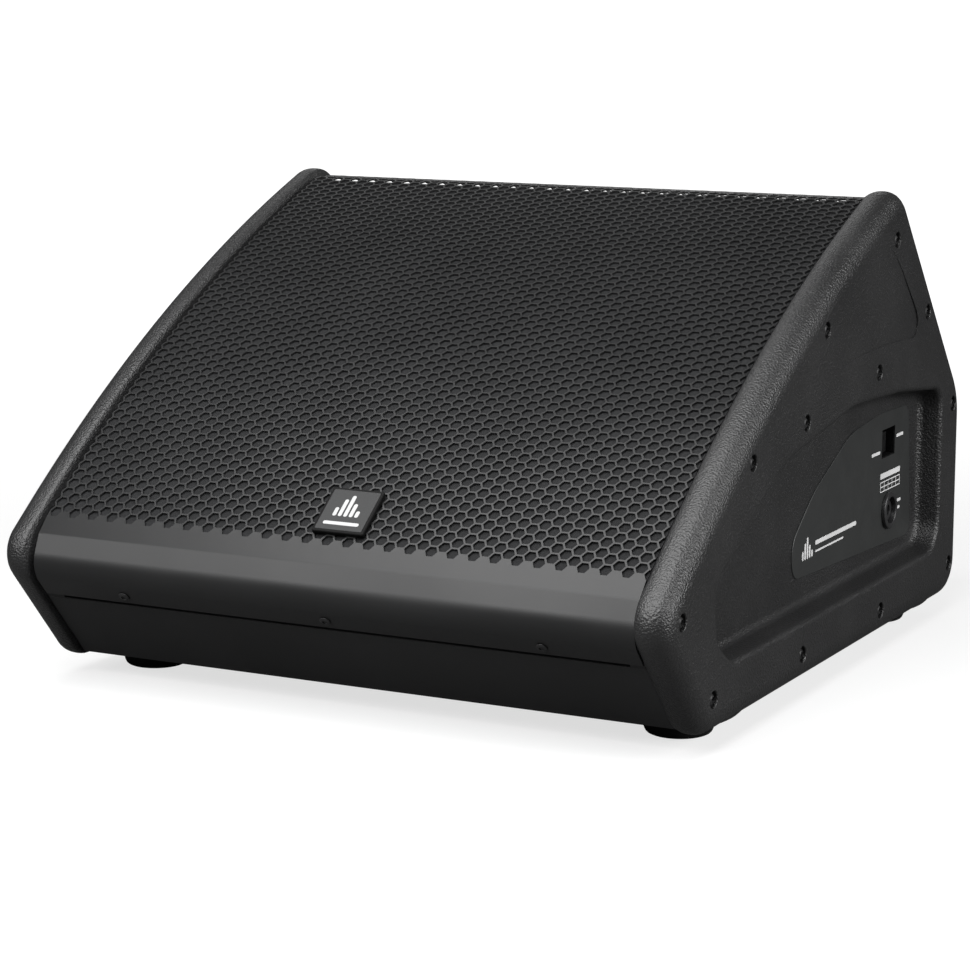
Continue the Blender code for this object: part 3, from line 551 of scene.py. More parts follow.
FOAM_HALF_X = 242.8
FOAM_FRONT, FOAM_BACK = 1.8, 8.4
FOAM_STARTS_BELOW, FOAM_ENDS_BELOW = 7.0, 12.5
FOAM_UNEVEN = (-0.18, 0.12)


def foam_sheet():
    """Foam behind the holes: a thin pad with a slightly uneven face."""
    rng = np.random.default_rng(11)
    count_x, count_s = 97, 97
    start = row_s(LOWEST_ROW) - FOAM_STARTS_BELOW
    middle, out = on_line(np.linspace(start, crest_s - FOAM_ENDS_BELOW, count_s))
    front = middle - out * FOAM_FRONT
    back = middle - out * FOAM_BACK
    bm = bmesh.new()
    xs = np.linspace(-FOAM_HALF_X, FOAM_HALF_X, count_x)
    lift = rng.uniform(*FOAM_UNEVEN, (count_s, count_x))
    rows = []
    for k, (f, b) in enumerate(zip(front, back)):
        up = unit(f - b)
        rows.append(
            (
                [bm.verts.new((x, *(f + up * lift[k, i]))) for i, x in enumerate(xs)],
                [bm.verts.new((x, *b)) for x in xs],
            )
        )
    for (f0, b0), (f1, b1) in zip(rows, rows[1:]):
        for i in range(count_x - 1):
            bm.faces.new((f0[i], f0[i + 1], f1[i + 1], f1[i]))
            bm.faces.new((b0[i], b1[i], b1[i + 1], b0[i + 1]))
        bm.faces.new((f0[0], f1[0], b1[0], b0[0]))
        bm.faces.new((f0[-1], b0[-1], b1[-1], f1[-1]))
    for (f, b), flip in ((rows[0], False), (rows[-1], True)):
        for i in range(count_x - 1):
            quad = (f[i], b[i], b[i + 1], f[i + 1])
            bm.faces.new(quad[::-1] if flip else quad)
    return bm


foam = piece("grille_foam_sheet", foam_sheet(), FOAM, replaces=["grille_foam"])


# ---------------------------------------------------------------- moulded cheeks

CHEEK_OUT_X = 270.0
CHEEK_BOTTOM_Z = 15.3
CHEEK_REAR_Y = 300.0
CHEEK_PROUD_LIP, CHEEK_PROUD_SLOPE, CHEEK_PROUD_SLANT = 2.6, 2.9, 6.0
# The crown's profile as (x, drop below the crest); the left cheek keeps a shadow gap beside the grille
CROWN_OUTER = (
    (258.5, 0.3), (261.0, 1.0), (263.4, 2.2), (265.6, 4.1), (267.4, 6.5), (268.7, 9.4), (269.6, 12.4),
    (270.0, 15.6),
)
CROWN = {
    "right": (
        (246.5, 11.0), (243.7, 7.0), (243.7, 3.9), (244.5, 3.0), (246.3, 1.9), (248.8, 0.85), (251.2, 0.25),
        (253.4, 0.05), (256.0, 0.0), *CROWN_OUTER,
    ),
    "left": (
        (246.6, 11.0), (248.3, 8.0), (248.3, 1.7), (248.7, 1.0), (249.5, 0.5), (251.0, 0.15), (253.4, 0.0),
        (256.0, 0.0), *CROWN_OUTER,
    ),
}
POCKET_FLOOR_X = 251.5
SOCKET_YZ = (171.4, 103.8)
SWITCH_YZ = (169.5, 159.3)
FOOT_X = 220.8
FOOT_Y = (-169.5, 231.8)
SCREW_SPOTS = (
    (129.1, 324.6), (205.9, 260.3), (-18.7, 271.8), (95.5, 225.7), (-56.2, 208.4), (-157.9, 195.0),
    (276.0, 176.7), (-277.9, 106.7), (-223.2, 41.4), (-56.2, 36.6), (110.9, 35.6), (276.0, 42.3),
)


SCREW_WELL = (
    (0.0, -24.0), (2.9, -24.0), (2.9, 0.0), (6.3, 0.0), (6.3, 5.9), (6.8, 6.5), (7.3, 12.0), (0.0, 12.0),
)


def cheek_line(steps=20):
    """The cheek's silhouette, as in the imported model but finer."""
    lip = LIP_END + LIP_OUT * CHEEK_PROUD_LIP
    toe = meet(lip, LIP_DIR, np.array([0.0, CHEEK_BOTTOM_Z]), ALONG_Y)
    crest = slope_points(CHEEK_PROUD_SLOPE, 41)
    nose = meet(crest[0], crest[1] - crest[0], lip, LIP_DIR)
    slant = SLANT_CORNER + SLANT_OUT * CHEEK_PROUD_SLANT
    top = meet(crest[-1], crest[-1] - crest[-2], slant, SLANT_DIR)
    rear = meet(slant, SLANT_DIR, np.array([CHEEK_REAR_Y, 0.0]), np.array([0.0, 1.0]))
    corners = [(CHEEK_REAR_Y, CHEEK_BOTTOM_Z, 31.0), (*rear, 55.0), (*top, 48.0)]
    corners += [(*p, 0.0) for p in reversed(crest[1:-1])]
    corners += [(*nose, 34.64), (*toe, 26.0)]
    return np.array(rounded(corners, steps))


POCKET_LINE = np.array(rounded([
    (246.0, 61.3, 25.0), (246.0, 192.3, 17.0), (150.0, 202.8, 120.0), (45.0, 206.3, 150.0),
    (-100.0, 184.3, 160.0), (-222.0, 119.3, 24.0), (-216.0, 79.3, 14.0), (-190.0, 61.3, 14.0),
], 20))
POCKET_CENTRE = np.array([30.0, 122.0])


def angles_of(line, centre):
    rel = line - centre
    return np.unwrap(np.arctan2(rel[:, 1], rel[:, 0]))


def read_ring(line, centre, angles):
    """Points where rays from a centre meet a closed line, with the line's inward normals there."""
    a = angles_of(line, centre)
    if a[-1] < a[0]:
        line, a = line[::-1], angles_of(line[::-1], centre)
    around = np.roll(line, -1, 0) - np.roll(line, 1, 0)
    inward = np.stack([-around[:, 1], around[:, 0]], 1) / np.linalg.norm(around, axis=1)[:, None]
    turn = 2 * math.pi
    grown = np.concatenate([a - turn, a, a + turn])
    order = np.argsort(grown)
    out = []
    for values in (line[:, 0], line[:, 1], inward[:, 0], inward[:, 1]):
        out.append(np.interp(angles, grown[order], np.tile(values, 3)[order]))
    point = np.stack(out[:2], 1)
    normal = np.stack(out[2:], 1)
    return point, normal / np.linalg.norm(normal, axis=1)[:, None]


def cheek_rings(crown):
    """Rings (x, outline) from the cheek's inner face over the crown and down into the recess."""
    edge = cheek_line()
    turn = 2 * math.pi
    both = np.concatenate([angles_of(line, POCKET_CENTRE) % turn for line in (edge, POCKET_LINE)])
    both = np.sort(np.concatenate([both, np.linspace(0, turn, 181)[:-1]]))
    angles = [both[0]]
    for a in both[1:]:
        if a - angles[-1] > 0.006:
            angles.append(a)
    angles = np.array(angles)
    edge_ring, edge_in = read_ring(edge, POCKET_CENTRE, angles)
    rim_ring, rim_in = read_ring(POCKET_LINE, POCKET_CENTRE, angles)
    rings = []
    for x, drop in crown:
        rings.append((x, edge_ring + edge_in * drop))
    rings.append((CHEEK_OUT_X, edge_ring + edge_in * (crown[-1][1] + 1.5)))
    lip, root, draft = 4.5, 6.5, 2.2
    rings.append((CHEEK_OUT_X, rim_ring - rim_in * (lip + 1.5)))
    for a in np.radians(np.linspace(0, 90, 9)):
        step = lip * (1 - math.sin(a))
        rings.append((CHEEK_OUT_X - lip * (1 - math.cos(a)), rim_ring - rim_in * step))
    for a in np.radians(np.linspace(0, 90, 9)):
        step = draft + root * (1 - math.cos(a))
        rings.append((POCKET_FLOOR_X + root * (1 - math.sin(a)), rim_ring + rim_in * step))
    rings.append((POCKET_FLOOR_X, rim_ring + rim_in * (draft + root + 1.5)))
    return rings


# A shallow scoop in the upper rear of the cheek: its rear and lower edges, and where it fades out
SCOOP_EDGE = (
    (110.6, 321.9), (127.3, 311.9), (142.1, 299.7), (157.4, 284.8), (170.2, 272.4), (178.0, 264.5),
    (182.0, 256.8), (181.6, 250.5), (177.2, 245.8), (172.7, 243.6), (151.3, 244.4), (128.0, 245.3),
    (98.4, 245.5), (71.8, 244.9), (45.7, 243.5), (24.5, 241.7), (-0.6, 239.3), (-14.9, 237.8),
)
SCOOP_DEPTH = 1.3


def scoop(side):
    """The cutter: flat outside, with a sloping inner face that meets the cheek's side at the fading edge."""
    edge = np.array(SCOOP_EDGE)
    along = unit(edge[0] - edge[-1])
    away = np.array([along[1], -along[0]])
    depth = (edge - edge[-1]) @ away
    depth = np.clip(depth / depth.max(), 0.0, 1.0) * SCOOP_DEPTH
    bm = bmesh.new()
    outer = [(side * (CHEEK_OUT_X + 2.0), *p) for p in edge]
    inner = [(side * (CHEEK_OUT_X + 0.02 - d), *p) for p, d in zip(edge, depth)]
    loft(bm, [inner, outer])
    return bm


def moulded_cheek(word, side):
    """The whole cheek: crown and recess, pads over the feet, the scoop, screw wells and openings."""
    bm = bmesh.new()
    loft(bm, [[(side * x, *p) for p in ring] for x, ring in cheek_rings(CROWN[word])])
    pads = bmesh.new()
    for foot_y in FOOT_Y:
        shape = []
        for k in range(33):
            a = math.pi * (k / 32.0 - 0.5)
            shape.append((250.0 + 13.0 * math.cos(a), foot_y + 38.0 * math.sin(a)))
        rings = []
        for z, shrink in ((14.8, 2.4), (15.1, 1.1), (15.9, 0.3), (17.0, 0.0), (30.0, 0.0)):
            ring = []
            for x, y in shape:
                inset_x = x - shrink if x > 250.5 else x
                ring.append((side * inset_x, y - math.copysign(shrink, y - foot_y), z))
            rings.append(ring)
        loft(pads, rings)
    bm = carve(bm, pads, "UNION")
    bm = carve(bm, scoop(side))
    holes = bmesh.new()
    for y, z in SCREW_SPOTS:
        lathe(holes, SCREW_WELL, frame_matrix((side * 263.5, y, z), (side, 0.0, 0.0), (0.0, 1.0, 0.0)), 32)
    bm = carve(bm, holes)
    through = bmesh.new()
    lathe(
        through,
        [(0.0, -11.5), (13.6, -11.5), (13.6, 4.5), (0.0, 4.5)],
        frame_matrix((side * POCKET_FLOOR_X, *SOCKET_YZ), (side, 0.0, 0.0), (0.0, 1.0, 0.0)),
        40,
    )
    if side > 0:
        y, z = SWITCH_YZ
        block(through, (240.0, y - 18.4, z - 15.0), (256.0, y + 18.4, z + 15.0))
    return carve(bm, through)


for word, side in SIDES:
    bm = moulded_cheek(word, side)
    piece(f"cheek_{word}_moulding", bm, CHEEK, replaces=[f"cheek_{word}"])


# ---------------------------------------------------------------- screws

def socket_screw(bm, matrix, head_r, head_h, shank_r, length, socket_r):
    """A button-head screw with a hexagon socket."""
    profile = [(0.0, -length), (shank_r * 0.6, -length), (shank_r, -length + 1.0), (shank_r, 0.0)]
    profile += [(head_r - 0.3, 0.0), (head_r, 0.3)]
    full = math.sin(math.radians(76.5))
    for k in range(1, 7):
        a = math.radians(15 * k * 0.85)
        profile.append((head_r * math.cos(a) * 0.985 + 0.1, 0.3 + (head_h - 0.3) * math.sin(a) / full))
    profile.append((0.0, head_h))
    part = bmesh.new()
    lathe(part, profile, matrix, 36)
    tool = bmesh.new()
    low, high = head_h * 0.38, head_h + 2.0
    lathe(tool, [(0.0, low), (socket_r, low), (socket_r, high), (0.0, high)], matrix, 6)
    part = carve(part, tool)
    mesh = bpy.data.meshes.new("screw")
    part.to_mesh(mesh)
    part.free()
    bm.from_mesh(mesh)
    bpy.data.meshes.remove(mesh)


for word, side in SIDES:
    for number, (y, z) in enumerate(SCREW_SPOTS, 1):
        bm = bmesh.new()
        matrix = frame_matrix((side * 263.8, y, z), (side, 0.0, 0.0), (0.0, 1.0, 0.0))
        matrix = matrix @ Matrix.Rotation(math.radians(37.0 * number), 4, "Z")
        socket_screw(bm, matrix, 5.5, 5.8, 2.2, 27.0, 2.3)
        stands_for = [f"cheek_screw_{number:02d}"] if side > 0 else []
        piece(f"cheek_screw_{word}_{number:02d}", bm, SCREW, replaces=stands_for)

GRILLE_SCREW_X = (("left", -170.0), ("middle", 0.0), ("right", 170.0))
GRILLE_SCREW_Z = 80.7
lip_point = LIP_END + LIP_DIR * ((GRILLE_SCREW_Z - LIP_END[1]) / LIP_DIR[1])
for word, x in GRILLE_SCREW_X:
    bm = bmesh.new()
    matrix = frame_matrix((x, *(lip_point + LIP_OUT * 0.3)), (0.0, *LIP_OUT))
    socket_screw(bm, matrix, 4.3, 1.3, 1.7, 12.0, 2.1)
    piece(f"grille_lip_screw_{word}", bm, SCREW, replaces=[f"grille_screw_{word}"])


# ---------------------------------------------------------------- lower front panel

PLY = 15.0
PANEL_HALF_X = 246.0
PANEL_FACE, PANEL_BACK = 2.2, 2.5 + PLY
PANEL_TOP_Z = 87.3
GROOVE_FROM, GROOVE_TO, GROOVE_DEPTH = -1.2, 7.0, 5.0


def lower_front():
    """The panel under the lip, with a groove that stays in shadow along the lip's end."""
    face = LIP_END - LIP_OUT * PANEL_FACE
    back = LIP_END - LIP_OUT * PANEL_BACK
    low = face + LIP_DIR * GROOVE_FROM
    high = face + LIP_DIR * GROOVE_TO
    level = np.array([0.0, BOTTOM_Z])
    top = meet(face, LIP_DIR, np.array([0.0, PANEL_TOP_Z]), ALONG_Y)
    outline = [
        meet(face, LIP_DIR, level, ALONG_Y), low - LIP_DIR * 0.6, low - LIP_OUT * 0.6,
        low - LIP_OUT * GROOVE_DEPTH, high - LIP_OUT * GROOVE_DEPTH, high, top, top - LIP_OUT * PLY,
        meet(back, LIP_DIR, level, ALONG_Y),
    ]
    bm = bmesh.new()
    loft(bm, [[(x, *p) for p in outline] for x in (-PANEL_HALF_X, PANEL_HALF_X)])
    return bm


piece("lower_front_panel_grooved", lower_front(), PANEL, replaces=["lower_front_panel"])


# ---------------------------------------------------------------- feet

FOOT_PROFILE = [
    (8.5, 0.0), (20.0, 0.0), (21.6, 0.2), (22.9, 0.8), (23.9, 1.8), (24.6, 3.2), (25.2, 5.0), (26.3, 17.6),
    (26.3, 18.4), (25.9, 19.0), (3.0, 19.0), (3.0, 9.0), (7.9, 9.0), (8.3, 8.6), (8.5, 8.0),
]
for word, side in SIDES:
    for end, y in zip(("front", "rear"), FOOT_Y):
        bm = bmesh.new()
        lathe(bm, FOOT_PROFILE, Matrix.Translation((side * FOOT_X, y, 0.0)), 72)
        piece(f"foot_{end}_{word}_rubber", bm, RUBBER, replaces=[f"foot_{end}_{word}"])


# ---------------------------------------------------------------- badge and plates, with plain marks

def bars(bm, matrix, low, width, gap, heights, thick):
    """A row of upright rounded bars of different heights: a generic level mark."""
    x = low[0]
    for height in heights:
        outline = rounded([(x, low[1], width / 2.2), (x + width, low[1], width / 2.2),
                           (x + width, low[1] + height, width / 2.2), (x, low[1] + height, width / 2.2)], 5)
        loft(bm, [[matrix @ Vector((a, b, c)) for a, b in outline] for c in (0.0, thick)])
        x += width + gap


BADGE_X = 1.6
BADGE_UP_SLOPE = 0.066
badge_a = angle_start + (angle_end - angle_start) * BADGE_UP_SLOPE
badge_out = np.array([math.cos(badge_a), math.sin(badge_a)])
badge_frame = frame_matrix((BADGE_X, *(arc_centre + badge_out * (SLOPE_RADIUS + 0.4))), (0.0, *badge_out))


def badge_plate(half, radius, z0, z1, edge):
    """A square plate with rounded corners and a softened front edge."""
    corners = ((-1, -1), (1, -1), (1, 1), (-1, 1))
    outline = rounded([(s * half, t * half, radius) for s, t in corners], 8)
    small = rounded([(s * (half - edge), t * (half - edge), max(radius - edge, 0.4)) for s, t in corners], 8)
    bm = bmesh.new()
    loft(bm, [[badge_frame @ Vector((a, b, z)) for a, b in ring] for z, ring in
              ((z0, outline), (z1 - edge, outline), (z1, small))])
    return bm


# The base stands 2.1 mm wider than the face all round; its near-black colour is partly the real rim and
# partly a painted shadow round the badge
bm = badge_plate(21.0, 1.6, 0.0, 3.0, 0.5)
piece("badge_body", bm, BADGE_RIM_AND_PAINTED_SHADOW, replaces=["badge"])
piece("badge_face", badge_plate(18.9, 1.0, 2.6, 3.3, 0.15), BADGE_FACE)
bm = bmesh.new()
bars(bm, badge_frame, (-10.4, -6.0), 3.0, 1.45, (8.0, 16.0, 20.0, 12.5, 6.0), 3.36)
bars(bm, badge_frame, (-14.5, -14.2), 29.0, 1.0, (3.0,), 3.36)
piece("badge_mark", bm, BADGE_PRINT)

PLATE_EDGE = (
    (226.0, 74.8, 11.0), (217.0, 183.3, 14.0), (150.0, 184.8, 60.0), (82.0, 178.3, 100.0),
    (6.0, 145.3, 120.0), (-38.0, 113.3, 22.0), (-34.0, 85.3, 14.0),
)
PLATE_LOW_X, PLATE_HIGH_X = 251.7, 252.3
FLANGE_X = 253.7


def side_plate(side):
    """The overlay plate, with its openings for the connector and the switch."""
    outline = np.array(rounded(PLATE_EDGE, 20))
    around = np.roll(outline, -1, 0) - np.roll(outline, 1, 0)
    inward = np.stack([-around[:, 1], around[:, 0]], 1) / np.linalg.norm(around, axis=1)[:, None]
    rings = []
    for x, step in ((PLATE_LOW_X, 0.0), (PLATE_HIGH_X - 0.35, 0.0), (PLATE_HIGH_X, 0.5)):
        rings.append([(side * x, *p) for p in outline + inward * step])
    bm = bmesh.new()
    loft(bm, rings)
    holes = bmesh.new()
    lathe(holes, [(0.0, -8.0), (13.1, -8.0), (13.1, 8.0), (0.0, 8.0)],
          frame_matrix((side * PLATE_HIGH_X, *SOCKET_YZ), (side, 0.0, 0.0), (0.0, 1.0, 0.0)), 64)
    if side > 0:
        y, z = SWITCH_YZ
        block(holes, (245.0, y - 15.0, z - 11.5), (260.0, y + 15.0, z + 11.5))
    return carve(bm, holes)


for word, side in SIDES:
    overlay = side_plate(side)
    piece(f"side_plate_{word}_overlay", overlay, PLATE, replaces=[f"side_plate_{word}"])
    # The mark's own axes: a runs to the viewer's right along the plate, b upwards
    origin = (side * (PLATE_HIGH_X - 0.02), 0.0, 0.0)
    marks = frame_matrix(origin, (side, 0.0, 0.0), (0.0, side, 0.0))
    bm = bmesh.new()
    start = -16.0 if side > 0 else -(SOCKET_YZ[0] - 30.0)
    bars(bm, marks, (start, 97.0), 3.0, 1.7, (7.0, 12.5, 16.5, 10.0, 5.5), 0.1)
    for k, (length, height) in enumerate(((88.0, 3.4), (60.0, 1.5))):
        bars(bm, marks, (start + 27.0, 104.6 - 5.6 * k), length, 1.0, (height,), 0.1)
    y, z = SOCKET_YZ
    for k in range(2):
        bars(bm, marks, (side * y + 19.5, z + 3.0 - 6.0 * k), 11.0 - 2.0 * k, 1.0, (2.4,), 0.1)
    if side > 0:
        y, z = SWITCH_YZ
        bars(bm, marks, (y - 38.5, z - 7.0), 19.5, 1.0, (2.6,), 0.1)
        bars(bm, marks, (y + 18.5, z + 1.0), 16.0, 1.0, (2.6,), 0.1)
        for drop, tall in ((28.0, 4.4), (31.2, 0.8), (35.0, 0.8), (38.8, 0.8)):
            block(bm, (PLATE_HIGH_X, y - 17.0, z - drop), (PLATE_HIGH_X + 0.08, y + 28.8, z - drop + tall))
        for across in (-17.0, -8.0, 1.0, 10.0, 19.0, 28.0):
            block(bm, (PLATE_HIGH_X, y + across, z - 38.6), (PLATE_HIGH_X + 0.09, y + across + 0.8, z - 30.6))
    piece(f"side_plate_{word}_marks", bm, PRINT)


# ---------------------------------------------------------------- speaker connectors and mode switch

def connector(side):
    """A four-pole speaker connector: flange ring, deep annular mouth and four contact slots."""
    matrix = frame_matrix((side * FLANGE_X, *SOCKET_YZ), (side, 0.0, 0.0), (0.0, 1.0, 0.0))
    profile = [
        (0.0, -26.0), (12.4, -26.0), (12.7, -25.7), (12.7, -1.2), (14.8, -1.2), (15.0, -0.9), (14.8, 1.3),
        (14.3, 1.8), (12.0, 2.2), (11.3, 2.1), (10.8, 1.7), (10.6, 1.0), (10.6, -17.0), (8.2, -17.0),
        (8.2, -1.6), (7.9, -1.1),
        (7.4, -1.0), (4.8, -1.0), (4.4, -1.2), (4.2, -1.7), (4.2, -14.0), (0.0, -14.0),
    ]
    bm = bmesh.new()
    lathe(bm, profile, matrix, 72)
    slots = bmesh.new()
    for turn in (0.0, 90.0, 180.0, 270.0):
        spin = matrix @ Matrix.Rotation(math.radians(turn), 4, "Z")
        part = [(7.2, -1.1), (9.2, -1.1), (9.2, 1.1), (7.2, 1.1)]
        loft(slots, [[spin @ Vector((p, q, h)) for p, q in part] for h in (-16.0, -3.4)])
    return carve(bm, slots)


for word, side in SIDES:
    piece(f"speaker_connector_{word}_shell", connector(side), SOCKET,
          replaces=[f"speaker_connector_{word}"])

sy, sz = SWITCH_YZ
bm = bmesh.new()
block(bm, (235.0, sy - 18.0, sz - 14.6), (251.5, sy + 18.0, sz + 14.6))
soften(bm, 0.5, 2)
tool = bmesh.new()
block(tool, (242.0, sy - 14.4, sz - 10.9), (260.0, sy + 14.4, sz + 10.9))
bm = carve(bm, tool)
tool = bmesh.new()
block(tool, (230.0, sy - 11.0, sz - 2.6), (243.0, sy + 11.0, sz + 2.6))
bm = carve(bm, tool)
tool = bmesh.new()
for k in (-1.0, 1.0):
    block(tool, (241.4, sy - 13.4, sz + k * 9.6 - 0.35), (243.0, sy + 13.4, sz + k * 9.6 + 0.35))
bm = carve(bm, tool)
piece("mode_switch_case", bm, SWITCH, replaces=["mode_switch_housing"])

# The slider's rest is at the near end of its 8 mm travel
rest_y = sy - 4.0
bm = bmesh.new()
outline = [(rest_y - 6.5, 242.4), (rest_y + 6.5, 242.4)]
for k in range(5):
    y = rest_y + 6.5 - 2.75 * k
    outline += [(y, 248.6), (y - 0.35, 249.0), (y - 1.0, 249.0), (y - 1.35, 248.6)]
    if k < 4:
        outline += [(y - 1.5, 247.5), (y - 2.6, 247.5)]
outline += [(rest_y - 6.5, 248.0)]
loft(bm, [[(x, y, z) for y, x in outline] for z in (sz - 8.0, sz + 8.0)])
tool = bmesh.new()
block(tool, (236.0, rest_y - 5.0, sz - 2.0), (244.0, rest_y + 5.0, sz + 2.0))
bm = carve(bm, tool, "UNION")
piece("mode_switch_thumb_slide", bm, SWITCH, body="switch_slider",
      replaces=["mode_switch_slider"])


# ---------------------------------------------------------------- the woofer's two bending rings

WOOFER_REF = (-59.756, 222.609)
AXIS_YZ = np.array([-0.49242356, 0.8703557])


def bending_ring(name, profile, mat, sectors):
    """A ring in sectors, each a piece of its own, running from the cone at its inner edge to the frame at its
    outer edge.
    """
    matrix = frame_matrix((0.0, *WOOFER_REF), (0.0, *AXIS_YZ))
    steps = 96 // sectors
    for number in range(sectors):
        bm = bmesh.new()
        rings = []
        for k in range(steps + 1):
            a = 2 * math.pi * (number + k / steps) / sectors
            rings.append([matrix @ Vector((r * math.cos(a), r * math.sin(a), h)) for r, h in profile])
        loft(bm, rings)
        stands_for = [name] if number == 0 else []
        obj = piece(f"{name}_sector_{number + 1:02d}", bm, mat, body=None, replaces=stands_for)
        a = 2 * math.pi * (number + 0.5) / sectors
        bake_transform(obj)


roll_top, roll_low = [], []
for k in range(13):
    a = math.pi - math.pi * k / 12.0
    roll_top.append((122.6 + 4.2 * math.cos(a), 2.4 + 6.0 * math.sin(a)))
    roll_low.append((122.6 + 3.3 * math.cos(a), 2.4 + 5.0 * math.sin(a)))
roll = [(118.3, -1.4), (118.3, 2.4), *roll_top[1:-1], (126.9, 3.2), (133.8, 3.2), (133.8, 2.2), (126.2, 2.2)]
roll += [*reversed(roll_low[1:-1]), (119.2, 2.4), (119.2, -1.4)]
bending_ring("surround", roll, CLOTH, 24)
waves = []
for k in range(28):
    r = 39.6 + (87.0 - 39.6) * k / 27.0
    fade = min(1.0, k / 3.0, max(0.0, (21 - k) / 3.0))
    waves.append((r, -57.0 + 1.6 * fade * math.cos(math.pi * k / 3.0)))
pleats = [(r, h + 0.4) for r, h in waves] + [(r, h - 0.4) for r, h in reversed(waves)]
bending_ring("spider", pleats, AMBER, 12)


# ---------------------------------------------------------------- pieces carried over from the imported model

CARRIED = {
    "end_panel_right": PANEL, "end_panel_left": PANEL, "bottom_panel": PANEL,
    "rear_panel": PANEL, "rear_slope_panel": PANEL, "top_panel": PANEL, "baffle": PANEL,
    "driver_basket": BASKET, "driver_magnet": MAGNET, "driver_cone": CONE, "voice_coil": COIL,
    "horn": HORN, "compression_driver_body": MAGNET,
    "compression_driver_cap": HORN, "hf_diaphragm": DOME, "port_tube_left": PORT, "port_tube_right": PORT,
    "crossover_board": BOARD, "crossover_coil_1": WIRE, "crossover_coil_2": WIRE,
    "crossover_capacitor_1": FILM, "crossover_capacitor_2": FILM, "damping_pad": WADDING,
}
for end in ("front", "rear"):
    for word in ("left", "right"):
        CARRIED[f"foot_screw_{end}_{word}"] = SCREW
SHARP_SIDED = ("panel", "baffle", "crossover_board", "capacitor")
EDGE_BEVEL = 0.8 * MM
for name, mat in CARRIED.items():
    obj = NODES[name]
    for slot in obj.material_slots:
        slot.material = mat
    if any(word in name for word in SHARP_SIDED):
        bevel = obj.modifiers.new("edge", "BEVEL")
        bevel.width = EDGE_BEVEL
        bevel.segments = 2
        bevel.limit_method = "ANGLE"
        bevel.angle_limit = math.radians(40.0)


# ---------------------------------------------------------------- floor, light and camera

def stage_sheet(name, size, location, mat):
    bm = bmesh.new()
    s = size / 2
    bm.faces.new([bm.verts.new(p) for p in ((-s, -s, 0), (s, -s, 0), (s, s, 0), (-s, s, 0))])
    mesh = bpy.data.meshes.new(name)
    bm.to_mesh(mesh)
    bm.free()
    obj = bpy.data.objects.new(name, mesh)
    obj.location = location
    obj.data.materials.append(mat)
    bpy.context.scene.collection.objects.link(obj)
    return obj


def floor_material():
    """Pale to the eye, but dim as a light source, so that the dark undersides stay dark."""
    m, tree, shader = new_material("pale_floor", (0.30, 0.30, 0.30), 0.8)
    shader.inputs["Specular IOR Level"].default_value = 0.1
    out = next(n for n in tree.nodes if n.type == "OUTPUT_MATERIAL")
    glow = tree.nodes.new("ShaderNodeEmission")
    far = tree.nodes.new("ShaderNodeVectorMath")
    far.operation = "LENGTH"
    tree.links.new(place(tree), far.inputs[0])
    tree.links.new(spread(tree, far.outputs["Value"], 0.70, 1.1, 0.6, 2.2), glow.inputs["Strength"])
    add = tree.nodes.new("ShaderNodeAddShader")
    tree.links.new(shader.outputs[0], add.inputs[0])
    tree.links.new(glow.outputs[0], add.inputs[1])
    dim = tree.nodes.new("ShaderNodeBsdfDiffuse")
    dim.inputs["Color"].default_value = (0.12, 0.12, 0.12, 1.0)
    path = tree.nodes.new("ShaderNodeLightPath")
    mix = tree.nodes.new("ShaderNodeMixShader")
    tree.links.new(path.outputs["Is Camera Ray"], mix.inputs[0])
    tree.links.new(dim.outputs[0], mix.inputs[1])
    tree.links.new(add.outputs[0], mix.inputs[2])
    tree.links.new(mix.outputs[0], out.inputs["Surface"])
    return m


FLOOR_SIZE, FLOOR_BELOW = 120.0, 0.0005
stage_sheet("floor", FLOOR_SIZE, (0.0, 0.0, -FLOOR_BELOW), floor_material())

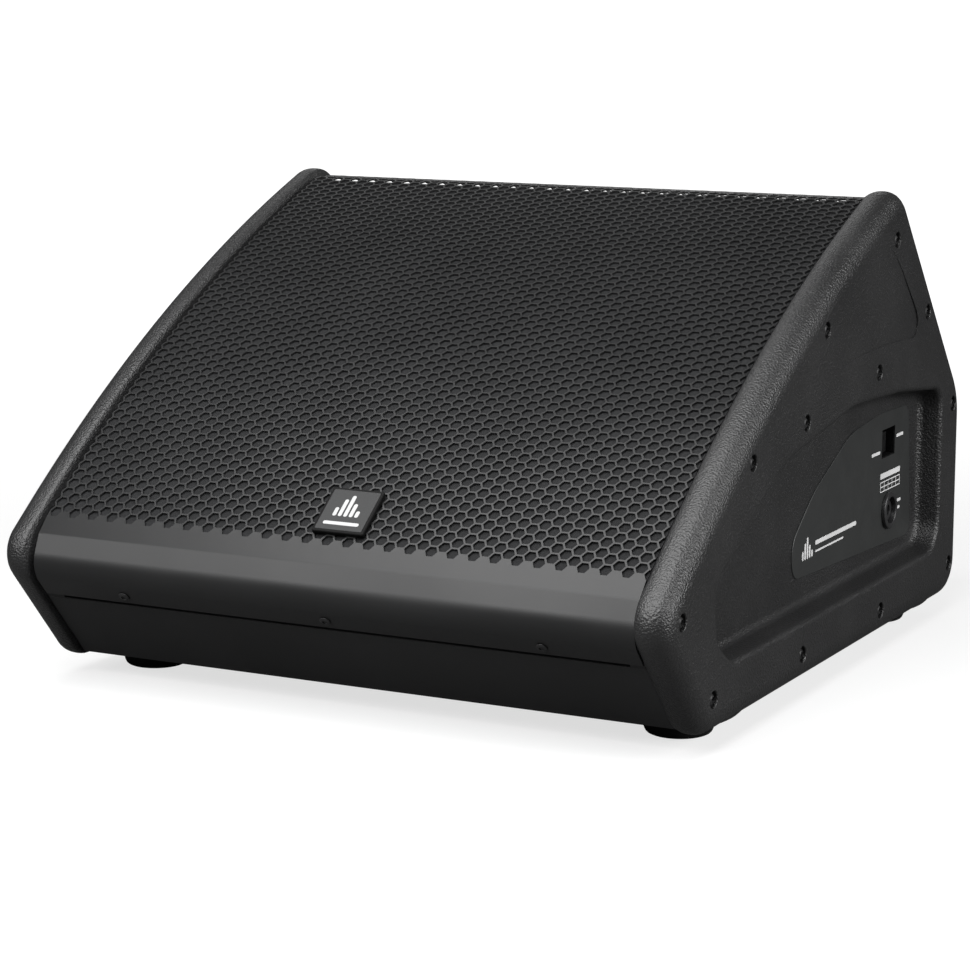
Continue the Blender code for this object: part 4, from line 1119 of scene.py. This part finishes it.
scene = bpy.context.scene
world = bpy.data.worlds.new("studio")
scene.world = world
world.use_nodes = True
tree = world.node_tree
ground = next(n for n in tree.nodes if n.type == "BACKGROUND")
ground.inputs["Color"].default_value = (1.0, 1.0, 1.0, 1.0)
ground.inputs["Strength"].default_value = 0.10
eye = tree.nodes.new("ShaderNodeBackground")
eye.inputs["Color"].default_value = (1.0, 1.0, 1.0, 1.0)
eye.inputs["Strength"].default_value = 1.1
path = tree.nodes.new("ShaderNodeLightPath")
mix = tree.nodes.new("ShaderNodeMixShader")
out = next(n for n in tree.nodes if n.type == "OUTPUT_WORLD")
tree.links.new(path.outputs["Is Camera Ray"], mix.inputs[0])
tree.links.new(ground.outputs[0], mix.inputs[1])
tree.links.new(eye.outputs[0], mix.inputs[2])
tree.links.new(mix.outputs[0], out.inputs["Surface"])


def softbox(name, location, target, size, size_y, power):
    data = bpy.data.lights.new(name, "AREA")
    data.shape = "RECTANGLE"
    data.size, data.size_y = size, size_y
    data.energy = power
    obj = bpy.data.objects.new(name, data)
    obj.location = location
    aim = Vector(target) - Vector(location)
    obj.rotation_euler = aim.to_track_quat("-Z", "Y").to_euler()
    scene.collection.objects.link(obj)
    return obj


softbox("overhead", (0.03, -0.64, 0.83), (0.03, -0.56, 0.0), 1.10, 1.08, 21.5)
softbox("front", (-1.10, -2.20, 1.30), (0.0, -0.3, 0.12), 1.8, 0.6, 32.0)
softbox("side", (3.2, 0.3, 1.3), (0.2, 0.0, 0.15), 2.2, 1.6, 101.0)
softbox("back", (-1.4, 2.6, 1.9), (0.0, 0.0, 0.2), 2.0, 1.2, 8.0)

camera_data = bpy.data.cameras.new("camera")
camera = bpy.data.objects.new("camera", camera_data)
scene.collection.objects.link(camera)
CAMERA_AT = (1.0168, -2.0043, 0.5484)
CAMERA_LOOKS = (-0.45234, 0.8730, -0.1827)
LENS, SENSOR = 107.88, 36.0
camera.location = CAMERA_AT
camera.rotation_mode = "QUATERNION"
camera.rotation_quaternion = Vector(CAMERA_LOOKS).to_track_quat("-Z", "Y")
camera_data.sensor_width = SENSOR
camera_data.lens = LENS
camera_data.clip_start, camera_data.clip_end = 0.05, 300.0
scene.camera = camera
scene.view_settings.view_transform = "Standard"
